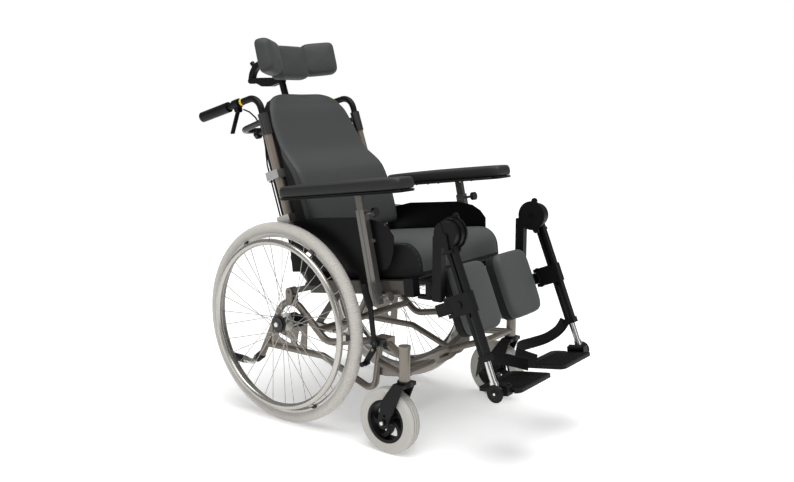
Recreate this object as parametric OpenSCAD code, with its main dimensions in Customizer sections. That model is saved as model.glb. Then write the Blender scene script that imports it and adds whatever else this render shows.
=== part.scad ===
// Comfort wheelchair with a tilting seat, a reclining back and raising legrests.
// The chair faces -Y, its right side is -X, the floor is z = 0 and x = 0 is its middle plane.
// Each sub-part is drawn in its place at rest. Left pieces mirror the right ones.

/* [Wheels] */
// Radius of the rear wheel over its tyre, which is also the height of the rear axle
wheel_r = 305; // [290:1:320]
// Width of the rear tyre
tyre_w = 36; // [30:1:38]
// Distance from the middle plane to the middle of a rear wheel
wheel_x = 287.5; // [285:0.5:300]
// Width of the rim
rim_w = 23; // [20:1:24]
// Depth of the rim, from its tyre bed inwards
rim_depth = 14; // [10:1:18]
// Number of spokes in a rear wheel
spokes = 36; // [24:4:36]
// Radius of the hand rim to the outside of its tube
handrim_r = 259; // [245:1:262]
// Radius of the hand rim tube
handrim_tube_r = 9.5; // [8:0.5:10]
// Distance from the middle plane to the middle of the hand rim
handrim_x = 317; // [316:1:325]
// Radius of a caster wheel
caster_r = 92.5; // [85:0.5:96]
// Width of a caster tyre
caster_w = 43; // [36:1:46]
// Distance that the caster axle trails behind its stem
caster_trail = 51; // [45:1:54]
// Distance from the rear axle forward to the caster stem
wheelbase = 457; // [445:1:480]
// Distance from the middle plane to the caster stem
stem_x = 291; // [285:1:296]

/* [Base] */
// Distance from the middle plane to the side tubes of the base
side_x = 230; // [226:1:232]
// Radius of the side tubes of the base
side_tube_r = 11; // [10:0.5:12.5]
// Radius of the caster head tube
head_tube_r = 15.5; // [15:0.5:18]
// Height of the caster head tube
head_tube_h = 88; // [80:1:95]
// Thickness of the axle plate
axle_plate_t = 5; // [4:0.5:7]
// Radius of the quick-release axle
axle_r = 6.3; // [5:0.1:8]
// Height of the front cross beam
beam_h = 40; // [34:1:44]
// Thickness of the front cross beam
beam_t = 22; // [18:1:26]

/* [Seat] */
// Angle of the seat above level at rest
seat_rake = 6.7; // [5:0.1:8]
// Place of the tilt pivot behind the rear axle
tilt_y = 16; // [10:1:20]
// Height of the tilt pivot
tilt_z = 390; // [388:1:396]
// Height of a seat rail
rail_h = 38; // [34:1:42]
// Width of a seat rail
rail_w = 20; // [18:1:22]
// Reach of the seat rails ahead of the tilt pivot
rail_front = 471; // [465:1:476]
// Width of the seat cushion
cushion_w = 430; // [400:2:432]
// Depth of the seat cushion
cushion_d = 435; // [400:1:436]
// Thickness of the seat cushion at its edge
cushion_h = 102; // [80:1:106]
// Rise of a cushion's crown above its edge
crown = 10; // [4:1:14]

/* [Armrests] */
// Length of an armrest pad
armpad_l = 447; // [420:1:450]
// Width of an armrest pad
armpad_w = 90; // [80:1:92]
// Thickness of an armrest pad
armpad_h = 33; // [28:1:38]
// Height of an armrest pad above the tilt pivot, square to the seat
armpad_z = 288; // [284:1:300]
// Distance from the middle plane to an armrest post
arm_post_x = 256; // [255:0.5:257]
// Angle that an armrest post leans back from square to the seat
arm_post_lean = 5.3; // [4:0.1:7]

/* [Back] */
// Angle of the back from upright at rest
back_rake = 18.3; // [16:0.1:20]
// Place of the recline pivot behind the rear axle
recline_y = -8; // [-12:1:-4]
// Height of the recline pivot
recline_z = 497; // [494:1:500]
// Distance from the middle plane to the back canes
cane_x = 220; // [218:1:222]
// Radius of a back cane
cane_r = 12.5; // [12:0.5:13]
// Length of a back cane above the recline pivot
cane_l = 385; // [370:1:400]
// Width of the back shell
back_shell_w = 398; // [390:1:400]
// Depth of the back shell's rear edge behind the canes' plane
back_shell_d = 48; // [44:1:50]
// Radius of a push handle grip
grip_r = 16.5; // [14:0.5:18]
// Length of a push handle grip
grip_l = 128; // [110:1:135]

/* [Headrest] */
// Width of the middle of the headrest
head_mid_w = 128; // [110:2:140]
// Width of a headrest wing
head_wing_w = 118; // [100:1:122]
// Height of the headrest pad
head_pad_h = 112; // [95:1:118]
// Thickness of the headrest pad
head_pad_t = 52; // [40:1:60]
// Angle that each wing turns forward
wing_turn = 26.6; // [20:0.1:32]

/* [Legrests] */
// Angle of a legrest from upright at rest
leg_rake = 21.8; // [20:0.1:24]
// Place of the knee pivot ahead of the rear axle
knee_reach = 561; // [556:1:566]
// Height of the knee pivot
knee_z = 621; // [616:1:626]
// Distance from the knee pivot to the foot pivot
leg_l = 430; // [420:1:445]
// Width of a calf pad
calf_w = 172; // [150:2:174]
// Height of a calf pad
calf_h = 197; // [180:1:205]
// Thickness of a calf pad
calf_t = 52; // [40:1:56]
// Width of a footplate
foot_w = 186; // [170:1:190]
// Depth of a footplate
foot_d = 130; // [120:1:135]
// Thickness of a footplate
foot_t = 9; // [7:1:10]

/* [Hidden] */

$fn = 48;
// Overrun of every cut past the face that it opens
cut = 1;
// Gap between a turning pin and its bore
fit = 0.05;
// Gap round long pins and sliding tubes
slide_fit = 0.3;
// Gap between flat faces that slide or turn past each other
gap = 0.4;
// Gap between a soft piece and what carries it
seat_gap = 0.3;

// Lap of a straight run into an elbow, and the step in radius there
elbow_lap = 1.2;
elbow_step = 0.15;

// Colours of the finishes
taupe = [0.47, 0.44, 0.40];
black = [0.07, 0.07, 0.075];
fabric = [0.25, 0.26, 0.27];
tyre_grey = [0.75, 0.73, 0.71];
bright = [0.8, 0.81, 0.82];

// Points of the base in shares of the wheelbase (y) and of the wheel radius (z)
side_path_shares = [[0.328, 0.551], [0.074, 1.275], [-0.271, 0.830], [-0.755, 0.970]];
lower_path_shares = [[0.268, 0.679], [-0.239, 0.682], [-0.670, 0.446], [-0.713, 0.955]];
side_bends = [0, 58, 52, 40, 0];
lower_bends = [0, 40, 30, 0];
plate_shares = [[0.165, 0.97], [-0.075, 1.08], [-0.10, 1.00], [-0.09, 0.69], [0.24, 0.69]];
plate_hole_shares = [[0.065, 0.76, 0.150, 0.80], [-0.02, 0.76, -0.035, 0.86], [0.03, 1.09, -0.04, 1.04]];
plate_hole_r = 8;
head_join_share = 0.90;
low_join_share = 0.745;
low_tube_r = 10.2;

// Axle block, which holds the quick-release axle on the plate
axle_block_r = 23;
axle_block_l = 26;
drum_l = 42;
drum_h = 34;

// Front cross beam, its spring lug, and the tubes to the caster heads
beam_y = -331;
beam_mid_z = 178;
beam_end_z = 208;
beam_flat_x = 118;
beam_slot_l = 46;
beam_slot_r = 5;
neck_r = 10.5;
neck_z = 232;
neck_x = 142;
neck_bend = 30;
rear_cross_y = -88;
rear_cross_z = 283;
rear_cross_r = 11;

// Caster head: bore, cap and stem
stem_r = 12;
cap_h = 10;
cap_r = 17;
head_z = 214;

// Tip bars
tip_r = 9;
tip_sleeve_r = 13.5;
tip_grip_r = 12;
tip_shares = [[0.328, 0.551], [0.427, 0.443], [0.62, 0.452]];
tip_bend = 26;
tip_grip_l = 66;
tip_rib_pitch = 8;
tip_rib_depth = 1.2;

// Parking brakes
brake_x = 287;
brake_pivot_y = -352;
brake_pivot_z = 301;
brake_block_l = 46;
brake_block_h = 20;
brake_lever_t = 5;
brake_lever_w = 15;
brake_knee = [15, 108];
brake_top = [36, 154];
brake_grip_r = 10;
shoe_pivot_y = -345;
shoe_pivot_z = 281;
shoe_y = -316;
shoe_z = 236;
shoe_r = 7;
shoe_l = 32;
shoe_arm_t = 5;
shoe_arm_w = 16;
brake_pin_r = 4;

// Rear wheel hub and spokes
hub_r = 15;
hub_half = 25;
hub_cap_t = 6;
button_h = 2;
flange_r = 27;
flange_x = 18;
flange_t = 4;
spoke_r = 1;
spoke_rim_x = 4;
spoke_stagger = 2.2;
spoke_sweep = 62;
cap_disc_r = 21;
button_r = 9;
tab_w = 16;
tab_t = 5;
tabs = 6;

// Caster wheel and fork
caster_rim_r = 62;
caster_boss_r = 17;
caster_bolt_r = 5;
caster_spoke_w = 11;
caster_spokes = 5;
tread_grooves = 3;
groove_w = 2.5;
groove_depth = 3;
tyre_edge = 10;
fork_gap = 3.5;
fork_t = 6;
fork_crown_r = 21;
fork_crown_h = 15;
fork_end_r = 19;
fork_knee = [-1, 52];
fork_knee_r = 25;
fork_hole_up = 20;

// Seat frame: rails, plates, pan and the arm that the tilt spring pushes
rail_low = -2;
rail_rear = -88;
link_r = 9;
pivot_lug_r = 13;
pivot_pin_r = 5;
pivot_ear_t = 4;
plate_t = 5;
recline_plate_d = 92;
recline_lug_r = 17;
pan_t = 2;
pan_rear = 90;
cross_r = 11.5;
cross_front = 425;
cross_rear = 60;
spring_arm_t = 9;
spring_arm_w = 22;

// Tilt spring between the front beam and the seat's arm
tilt_eye = [-300, 168];
tilt_rod_eye = [118, 222];
spring_arm_knee = [58, 300];
spring_eye_r = 10;
spring_eye_w = 13;
spring_pin_r = 4;
open_pin_gap = 2.2;
cylinder_r = 9.4;
cylinder_l = 250;
rod_r = 5;
fork_plate_t = 4;
clevis_l = 74;
tilt_stroke = 64;

// Recline spring behind the back
recline_spring_x = 70;
recline_eye = [64, 352];
recline_rod_eye = [80, 205];
recline_cylinder_l = 190;
recline_stroke = 40;

// Side guards in the seat's own axes
guard_t = 3.5;
guard_x = 240.6;
guard_points = [[-26, 62], [-26, 186], [-66, 212], [-130, 222], [-318, 217], [-376, 203], [-404, 184],
    [-421, 160], [-417, 119], [-404, 86], [-386, 68], [-336, 64], [-328, 20], [-290, 20], [-282, 64],
    [-138, 64], [-130, 20], [-88, 20], [-80, 62]];

// Hanger brackets and hanger
swing_x = 225;
swing_reach = 494;
bracket_w = 30;
bracket_h = 50;
lug_r = 13;
lug_h = 9;
swing_pin_r = 5;
post_w = 22;
post_d = 28;
post_y = -522;
post_low = 432;
knee_drum_r = 40;
knee_flange_r = 44;
knee_flange_t = 6;
knee_inner_x = 214;
knee_split_x = 237;
knee_outer_x = 258;
knee_pin_r = 8;
knee_lug_r = 9;
release_l = 46;
release_w = 13;
release_t = 5;
release_bar_w = 30;

// Legrest profile, clamp, sliding tube and foot pivot
profile_w = 20;
profile_d = 26;
profile_l = 345;
collar_l = 16;
collar_t = 3;
leg_tube_r = 9;
leg_tube_in = 120;
foot_disc_r = 15;
foot_disc_t = 6;
flip_x = 222;
flip_pin_r = 6;
flip_z = 232;
flip_barrel_r = 11;
flip_barrel_l = 34;
foot_rear = 641;
foot_rake = 8;
foot_sink = 3;
foot_inner = 34;
foot_corner_r = 18;
foot_rib_pitch = 12;
foot_rib_h = 2;
foot_rib_w = 5;

// Calf pad and bracket, down the leg from the knee
calf_from = 82;
calf_inner_x = 32;
calf_back = 44;
clamp_at = 186;
clamp_h = 56;
clamp_l = 52;
calf_pin_r = 5;
calf_hub_r = 8;
calf_arm_h = 34;
calf_arm_t = 6;
calf_shell_t = 4;

// Armrest sockets and posts
socket_w = 21;
socket_d = 28;
socket_wall = 2.5;
socket_low = -28;
socket_l = 268;
socket_y = -353;
knob_r = 13;
knob_h = 12;
knob_stub_r = 4;
knob_stub_l = 26;
post_gap = 0.25;
post_in = 150;
tray_t = 6;
tray_margin = 3;

// Back frame: straps, clamps, sleeves, push bar and headrest clamp
strap_h = 30;
strap_t = 5;
strap_reach = 212;
strap_ear = 12;
strap_low = 121;
strap_high = 261;
clamp_w = 33;
clamp_d = 48;
clamp_t = 26;
eye_r = 15;
eye_w = 24;
sleeve_r = 15.5;
sleeve_l = 66;
push_bar_r = 9;
push_bar_up = 430;
push_bar_back = 111;
push_bar_bend = 34;
head_clamp_w = 40;
head_clamp_h = 34;
head_clamp_d = 44;
shell_t = 4;
back_edge = 12;
back_wall_front = -14;
back_hollow = 10;
// Rows of the back: height up the canes, half width, depth of the cushion's face and of the panel behind it
back_rows = [[50, 199, -72, -22], [66, 208, -81, -20], [120, 212, -84, -14], [180, 212.5, -83, -10],
    [236, 212, -76, -4], [262, 211, -66, 2], [284, 208, -53, 8], [306, 203, -39, 15], [328, 200, -28, 22],
    [362, 197, -18, 28], [413, 192, -8, 34], [462, 179, -1, 36], [484, 166, 5, 35], [500, 153, 9, 33],
    [514, 128, 14, 31], [522, 96, 19, 28]];
shell_rows = 14;

// Handle tubes and levers
handle_tube_r = 10.5;
handle_in = 100;
handle_corner_up = 508;
handle_bend = 42;
handle_reach = 262;
handle_droop = 3.4;
lever_clamp_l = 26;
lever_clamp_r = 15;
lever_at = 97;
lever_l = 78;
lever_w = 14;
lever_t = 5;
lever_pin_r = 3;
lever_angle = 50;

// Headrest hardware
head_post_w = 16;
head_post_back = 90;
head_post_top = 595;
head_post_low = 360;
head_plate_l = 137;
head_plate_t = 7;
head_plate_w = 24;
head_plate_sag = 22;
head_arm_r = 58;
head_arm_w = 18;
head_arm_t = 20;
head_arm_sweep = 84;
head_pin_r = 4;
head_pad_y = 227;
head_pad_z = 1088;
head_rake = 14;
head_ball_r = 12;
head_edge = 15;
head_crown = 5;
head_hinge = 42;
wing_lap = 11;
wing_rise = 8;
knuckle_t = 3;

// Control cables along the canes, in the back's own axes
cable_r = 2.5;
cable_points = [[-210, 84, 492], [-206, 66, 478], [-203.5, 50, 456], [-203.5, 36, 424], [-203.5, 34, 376],
    [-209, 37, 338], [-215.5, 38.8, 300], [-215.5, 38.8, 190], [-215.5, 38.8, 96]];

// Worked out from the sizes above
axle_z = wheel_r;
rim_r = wheel_r - tyre_w + 6;
stem_y = -wheelbase;
caster_y = stem_y + caster_trail;
knee_y = -knee_reach;
rail_top = rail_low + rail_h;
cushion_rear = 45;
cushion_edge = 20;
arm_edge = 12;
arm_crown = 4;
calf_edge = 18;
calf_crown = 6;
calf_pin = [4, profile_d / 2 + clamp_l - 9];

function unit(v) = v / norm(v);
function yz(s) = [s[0] * wheelbase, s[1] * wheel_r];
function at_x(x, p) = [x, p[0], p[1]];
function turn_of(p, q, s) = 180 - acos(max(-1, min(1, unit(p - q) * unit(s - q))));
function rot(a, v) = [v[0] * cos(a) - v[1] * sin(a), v[0] * sin(a) + v[1] * cos(a)];
function seat_point(p) = [tilt_y, tilt_z] + rot(-seat_rake, p);
function back_point(p) = [recline_y, recline_z] + rot(-back_rake, p);
function leg_point(p) = [knee_y, knee_z] + rot(-leg_rake, p);

// Headrest plate's root and hinge, the foot pivot, and the axle's place behind the chair's middle
head_base = back_point([head_post_back, head_post_top]);
head_pivot = head_base + [head_plate_l, -head_plate_t * 0.4];
foot_pivot = leg_point([0, -leg_l]);
head_joint = [head_pad_y, head_pad_z] + rot(-head_rake, [head_hinge, 0]);
foot_top = flip_z - flip_barrel_r + foot_sink;
foot_tip = foot_pivot + rot(-foot_rake, [-foot_rear - foot_d, foot_top - foot_t] - foot_pivot);
rear_axle_y = -(foot_tip[0] + head_pivot[0] + head_arm_t / 2) / 2;

// Rod from one point to another
module rod(p, q, r) {
    v = q - p;
    translate(p)
        rotate([0, acos(v[2] / norm(v)), atan2(v[1], v[0])])
            cylinder(h = norm(v), r = r);
}

// Elbow at q between the runs from p and to s
module elbow(p, q, s, r, bend) {
    turn = turn_of(p, q, s);
    a = unit(p - q);
    b = unit(s - q);
    centre = q + unit(a + b) * bend / cos(turn / 2);
    start = q + a * bend * tan(turn / 2);
    e1 = unit(start - centre);
    e2 = -a;
    e3 = cross(e1, e2);
    multmatrix([[e1[0], e2[0], e3[0], centre[0]], [e1[1], e2[1], e3[1], centre[1]],
        [e1[2], e2[2], e3[2], centre[2]], [0, 0, 0, 1]])
        rotate_extrude(angle = turn)
            translate([bend, 0]) circle(r = r);
}

// Tube along points with a bend radius at each inner point. Its straight runs enter the elbows
// a hair thinner, so that no two faces meet along a line
module tube(points, r, bends) {
    n = len(points);
    tangent = [for (i = [0 : n - 1]) (i == 0 || i == n - 1) ? 0
        : bends[i] * tan(turn_of(points[i - 1], points[i], points[i + 1]) / 2)];
    for (i = [0 : n - 2]) {
        u = unit(points[i + 1] - points[i]);
        lap = [for (t = [tangent[i], tangent[i + 1]]) t > 0 ? t - elbow_lap : 0];
        rod(points[i] + u * lap[0], points[i + 1] - u * lap[1], r - elbow_step);
    }
    for (i = [1 : n - 2])
        if (bends[i] > 0) elbow(points[i - 1], points[i], points[i + 1], r, bends[i]);
}

// Cylinder along X from x0 to x1 through the point [y, z]
module pin_x(x0, x1, p, r) {
    translate([x0, p[0], p[1]]) rotate([0, 90, 0]) cylinder(h = x1 - x0, r = r);
}

// Cylinder along Y from y0 to y1 through the point [x, z]
module pin_y(y0, y1, p, r) {
    translate([p[0], y1, p[1]]) rotate([90, 0, 0]) cylinder(h = y1 - y0, r = r);
}

// Flat outline in y and z, drawn from x0 to x1
module plate_x(x0, x1) {
    translate([x0, 0, 0]) rotate([90, 0, 90]) linear_extrude(x1 - x0) children();
}

// Flat bar with round ends from one point to another
module slot(p, q, r) {
    v = q - p;
    translate(p) rotate(atan2(v[1], v[0])) {
        circle(r = r);
        translate([0, -r]) square([norm(v), 2 * r]);
        translate([norm(v), 0]) circle(r = r);
    }
}

// Box given by its low and high corners
module box(low, high) {
    translate(low) cube(high - low);
}

// Places what the rear axle's height and place fix
module chair() {
    translate([0, rear_axle_y, 0]) children();
}

// Draws a right-hand piece on the side that is asked for
module on(side) {
    if (side == "left") mirror([1, 0, 0]) children();
    else children();
}

module both() {
    on("right") children();
    on("left") children();
}

// The seat's own axes, with y back along the rails from the tilt pivot
module seat_space() {
    translate([0, tilt_y, tilt_z]) rotate([-seat_rake, 0, 0]) children();
}

// The back's own axes, with z up the canes from the recline pivot
module back_space() {
    translate([0, recline_y, recline_z]) rotate([-back_rake, 0, 0]) children();
}

// The legrest's own axes, with z up the leg to the knee pivot
module leg_space() {
    translate([0, knee_y, knee_z]) rotate([-leg_rake, 0, 0]) children();
}

// Closed skin through rings of equal point counts, for soft pieces and cables
function middle(ring) = [for (k = [0 : 2]) [for (p = ring) p[k]] * [for (p = ring) 1] / len(ring)];
module skin(rings) {
    n = len(rings[0]);
    last = len(rings) - 1;
    verts = concat([for (ring = rings) each ring], [middle(rings[0]), middle(rings[last])]);
    faces = concat(
        [for (k = [0 : last - 1], i = [0 : n - 1]) each
            [[k * n + i, (k + 1) * n + i, (k + 1) * n + (i + 1) % n],
             [k * n + i, (k + 1) * n + (i + 1) % n, k * n + (i + 1) % n]]],
        [for (i = [0 : n - 1]) [i, (i + 1) % n, (last + 1) * n]],
        [for (i = [0 : n - 1]) [last * n + (i + 1) % n, last * n + i, (last + 1) * n + 1]]);
    polyhedron(points = verts, faces = faces);
}

// The footplate's own tilt about the foot pivot
module foot_space() {
    translate([0, foot_pivot[0], foot_pivot[1]]) rotate([-foot_rake, 0, 0])
        translate([0, -foot_pivot[0], -foot_pivot[1]]) children();
}

// Soft pad with rounded edges: its outline shrinks by insets on the way up, then the crown closes it
pad_points = 36;
function squircle(w, d, n) = [for (i = [0 : pad_points - 1])
    let(a = 360 * i / pad_points, c = cos(a), s = sin(a))
    [w / 2 * sign(c) * pow(abs(c), 2 / n), d / 2 * sign(s) * pow(abs(s), 2 / n)]];
function drawn_in(outline, w, d, inset) = [for (p = outline)
    [p[0] * (1 - 2 * inset / w), p[1] * (1 - 2 * inset / d)]];
module pad(w, d, n, h, edge, crown) {
    outline = squircle(w, d, n);
    sides = [[0, 0.45], [0.10, 0.12], [0.34, 0], [0.62, 0.04], [0.84, 0.30], [0.96, 0.72]];
    caps = [0.78, 0.52, 0.26];
    skin(concat(
        [for (s = sides) [for (p = drawn_in(outline, w, d, edge * s[1])) [p[0], p[1], h * s[0]]]],
        [for (c = caps) [for (p = drawn_in(outline, w, d, edge * 0.72))
            [p[0] * c, p[1] * c, h + crown * (1 - c * c)]]]));
}

// Base side: arched tube, lower tube, axle plate, caster head and brake bracket
module base_side(side) {
    arch = [for (s = side_path_shares) at_x(-side_x, yz(s))];
    low = [for (s = lower_path_shares) at_x(-side_x, yz(s))];
    stem = [-stem_x, stem_y];
    chair() on(side) {
        color(taupe) difference() {
            union() {
                tube(concat(arch, [[stem[0], stem[1], head_join_share * wheel_r]]), side_tube_r, side_bends);
                tube(low, low_tube_r, lower_bends);
                rod([low[3][0], low[3][1], low_join_share * wheel_r],
                    [stem[0], stem[1], low_join_share * wheel_r], neck_r);
                translate([stem[0], stem[1], head_z]) cylinder(h = head_tube_h, r = head_tube_r);
                plate_x(-side_x - axle_plate_t / 2, -side_x + axle_plate_t / 2) difference() {
                    polygon([for (s = plate_shares) yz(s)]);
                    for (h = plate_hole_shares)
                        slot(yz([h[0], h[1]]), yz([h[2], h[3]]), plate_hole_r);
                }
                for (x = [-side_x + rail_w / 2 + gap, -side_x - rail_w / 2 - gap - pivot_ear_t])
                    plate_x(x, x + pivot_ear_t)
                        slot([tilt_y, tilt_z], [tilt_y, tilt_z - pivot_lug_r * 2], pivot_lug_r);
                pin_x(-side_x - rail_w / 2 - gap - pivot_ear_t, -side_x + rail_w / 2 + gap + pivot_ear_t,
                    [tilt_y, tilt_z - pivot_lug_r * 2], pivot_lug_r / 2);
            }
            translate([stem[0], stem[1], head_z - cut])
                cylinder(h = head_tube_h + 2 * cut, r = stem_r + fit);
            pin_x(-side_x - axle_plate_t, -side_x + axle_plate_t, [0, axle_z], axle_r + fit);
            pin_x(-side_x - rail_w, -side_x + rail_w, [tilt_y, tilt_z], pivot_pin_r + fit);
        }
        color(black) {
            translate([stem[0], stem[1], head_z + head_tube_h]) cylinder(h = cap_h, r = cap_r);
            brake_bracket();
        }
    }
}

// Bracket that carries the parking brake ahead of the tyre
module brake_bracket() {
    half = brake_block_l / 2;
    difference() {
        union() {
            box([-brake_x + shoe_arm_t, brake_pivot_y - half, brake_pivot_z - brake_block_h / 2],
                [-side_x + side_tube_r / 2, brake_pivot_y + half, brake_pivot_z + brake_block_h / 2]);
            pin_x(-brake_x - brake_lever_t, -brake_x + 2 * shoe_arm_t, [brake_pivot_y, brake_pivot_z], brake_pin_r);
            box([-brake_x + shoe_arm_t, shoe_pivot_y - shoe_arm_w / 2, shoe_pivot_z - shoe_arm_w / 2],
                [-brake_x + 2 * shoe_arm_t, shoe_pivot_y + shoe_arm_w / 2, brake_pivot_z]);
            pin_x(-brake_x - shoe_arm_t, -brake_x + 2 * shoe_arm_t, [shoe_pivot_y, shoe_pivot_z], brake_pin_r);
        }
    }
}

// Cross members: front beam with slots and spring lug, necks to the caster heads, and the rear tube
module base_cross() {
    y0 = beam_y - beam_t / 2;
    y1 = beam_y + beam_t / 2;
    half = beam_h / 2;
    reach = side_x - side_tube_r / 2;
    chair() color(taupe) {
        difference() {
            translate([0, y1, 0]) rotate([90, 0, 0]) linear_extrude(beam_t) difference() {
                polygon([[-reach, beam_end_z - half], [-beam_flat_x, beam_mid_z - half],
                    [beam_flat_x, beam_mid_z - half], [reach, beam_end_z - half],
                    [reach, beam_end_z + half], [beam_flat_x, beam_mid_z + half],
                    [-beam_flat_x, beam_mid_z + half], [-reach, beam_end_z + half]]);
                for (s = [-1, 1])
                    slot([s * beam_flat_x * 0.45, beam_mid_z], [s * (beam_flat_x * 0.45 + beam_slot_l), beam_mid_z],
                        beam_slot_r);
            }
        }
        for (s = [-1, 1]) {
            x = s * (spring_eye_w / 2 + gap + fork_plate_t / 2);
            plate_x(x - fork_plate_t / 2, x + fork_plate_t / 2) difference() {
                slot(tilt_eye, [y1 - spring_eye_r, tilt_eye[1]], spring_eye_r);
                translate(tilt_eye) circle(r = spring_pin_r + fit);
            }
        }
        both() {
            tube([[-stem_x + head_tube_r - 1, stem_y, neck_z], [-neck_x, stem_y, neck_z],
                [-neck_x * 0.78, beam_y, beam_mid_z + half * 0.4]], neck_r, [0, neck_bend, 0]);
        }
        pin_x(-side_x, side_x, [rear_cross_y, rear_cross_z], rear_cross_r);
    }
}

// Axle blocks with the quick-release axles that stand out of them
module axle_blocks() {
    x0 = -side_x - axle_plate_t / 2 - axle_block_l;
    chair() both() {
        color(black) {
            pin_x(x0, -side_x - axle_plate_t / 2, [0, axle_z], axle_block_r);
            box([x0, -drum_l, axle_z - drum_h * 0.35],
                [-side_x - side_tube_r - gap, 0, axle_z + drum_h * 0.65]);
        }
        color(bright) pin_x(-wheel_x - hub_half + hub_cap_t + seat_gap, -side_x + axle_plate_t, [0, axle_z], axle_r);
    }
}

// Tip bars: black sleeves, bright bent tubes and ribbed rubber ends
module tip_bars() {
    path = [for (s = tip_shares) at_x(-side_x, yz(s))];
    start = path[0] + unit(path[1] - path[0]) * 4;
    along = unit(path[2] - path[1]);
    ribs = floor(tip_grip_l / tip_rib_pitch);
    chair() both() {
        color(black) rod(start - unit(path[1] - path[0]) * 4, start + unit(path[1] - path[0]) * 26, tip_sleeve_r);
        color(bright) tube([start, path[1], path[2]], tip_r, [0, tip_bend, 0]);
        color(black) {
            rod(path[2] - along * tip_grip_l, path[2] + along * 2, tip_grip_r - tip_rib_depth);
            for (i = [0 : ribs - 1])
                rod(path[2] - along * (i * tip_rib_pitch + tip_rib_pitch / 2), path[2] - along * i * tip_rib_pitch,
                    tip_grip_r);
        }
    }
}

// Parking brake lever with its round grip
module brake_lever(side) {
    pivot = [brake_pivot_y, brake_pivot_z];
    x0 = -brake_x - brake_lever_t - gap;
    chair() on(side) color(black) {
        difference() {
            plate_x(x0, x0 + brake_lever_t) union() {
                slot(pivot, pivot + brake_knee, brake_lever_w / 2);
                circle_at(pivot, brake_lever_w * 0.75);
            }
            pin_x(x0 - cut, x0 + brake_lever_t + cut, pivot, brake_pin_r + fit);
        }
        rod(at_x(x0 + brake_lever_t / 2, pivot + brake_knee * 0.93), at_x(x0 + brake_lever_t / 2, pivot + brake_top),
            brake_grip_r);
        translate(at_x(x0 + brake_lever_t / 2, pivot + brake_top)) sphere(r = brake_grip_r + elbow_step);
    }
}

module circle_at(p, r) {
    translate(p) circle(r = r);
}

// Brake shoe: arm with its knurled bar that presses the tyre
module brake_shoe(side) {
    pivot = [shoe_pivot_y, shoe_pivot_z];
    x0 = -brake_x + shoe_arm_t - gap - shoe_arm_t;
    chair() on(side) {
        color(black) difference() {
            plate_x(x0, x0 + shoe_arm_t) {
                slot(pivot, [shoe_y, shoe_z], shoe_arm_w / 2);
            }
            pin_x(x0 - cut, x0 + shoe_arm_t + cut, pivot, brake_pin_r + fit);
        }
        color(bright) pin_x(-wheel_x - shoe_l / 2, -wheel_x + shoe_l / 2, [shoe_y, shoe_z], shoe_r);
    }
}

// Rear tyre
module rear_tyre(side) {
    r = tyre_w / 2;
    chair() on(side) color(tyre_grey) translate([-wheel_x, 0, axle_z]) rotate([0, 90, 0])
        rotate_extrude($fn = 96) difference() {
            translate([wheel_r - r, 0]) circle(r = r);
            translate([0, -rim_w / 2]) square([rim_r, rim_w]);
        }
}

// Rear wheel: rim, crossed spokes, hub and quick-release axle
module rear_wheel(side) {
    chair() on(side) translate([-wheel_x, 0, axle_z]) rotate([0, 90, 0]) {
        color(bright) rotate_extrude($fn = 96) polygon([
            [rim_r - rim_depth, -rim_w * 0.27], [rim_r - rim_depth, rim_w * 0.27],
            [rim_r - rim_depth * 0.6, rim_w / 2], [rim_r, rim_w / 2],
            [rim_r, -rim_w / 2], [rim_r - rim_depth * 0.6, -rim_w / 2]]);
        color(bright) for (i = [0 : spokes - 1]) {
            face = i % 2 == 0 ? 1 : -1;
            lean = floor(i / 2) % 2 == 0 ? 1 : -1;
            a = 360 * i / spokes;
            h = a + lean * spoke_sweep;
            z = face * (flange_x + lean * spoke_stagger / 2);
            rod([(flange_r - 3) * cos(h), (flange_r - 3) * sin(h), z],
                [(rim_r - rim_depth + 1) * cos(a), (rim_r - rim_depth + 1) * sin(a), face * spoke_rim_x], spoke_r);
        }
        color(black) difference() {
            union() {
                translate([0, 0, -hub_half]) cylinder(h = 2 * hub_half, r = hub_r);
                for (s = [-1, 1])
                    translate([0, 0, s * flange_x - flange_t / 2]) cylinder(h = flange_t, r = flange_r);
                translate([0, 0, -hub_half]) cylinder(h = hub_half - flange_x, r = cap_disc_r);
            }
            translate([0, 0, -hub_half + hub_cap_t]) cylinder(h = 2 * hub_half, r = axle_r + fit);
        }
        color(bright) translate([0, 0, -hub_half - button_h / 2]) cylinder(h = button_h, r = button_r);
    }
}

// Hand rim with the tabs that bolt it to the rim
module handrim(side) {
    off = handrim_x - wheel_x;
    mid = handrim_r - handrim_tube_r;
    chair() on(side) translate([-wheel_x, 0, axle_z]) rotate([0, 90, 0]) {
        color(bright) rotate_extrude($fn = 96) translate([mid, -off]) circle(r = handrim_tube_r);
        color(black) for (i = [0 : tabs - 1]) rotate(360 * (i + 0.5) / tabs)
            translate([0, -tab_w / 2, 0]) rotate([90, 0, 0]) translate([0, 0, -tab_w])
                linear_extrude(tab_w) polygon([
                    [mid + handrim_tube_r * 0.5, -off - tab_t / 2], [mid + handrim_tube_r * 0.5, -off + tab_t],
                    [rim_r - rim_depth * 0.6, -rim_w / 2], [rim_r - rim_depth * 0.2, -rim_w / 2]]);
    }
}

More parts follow.
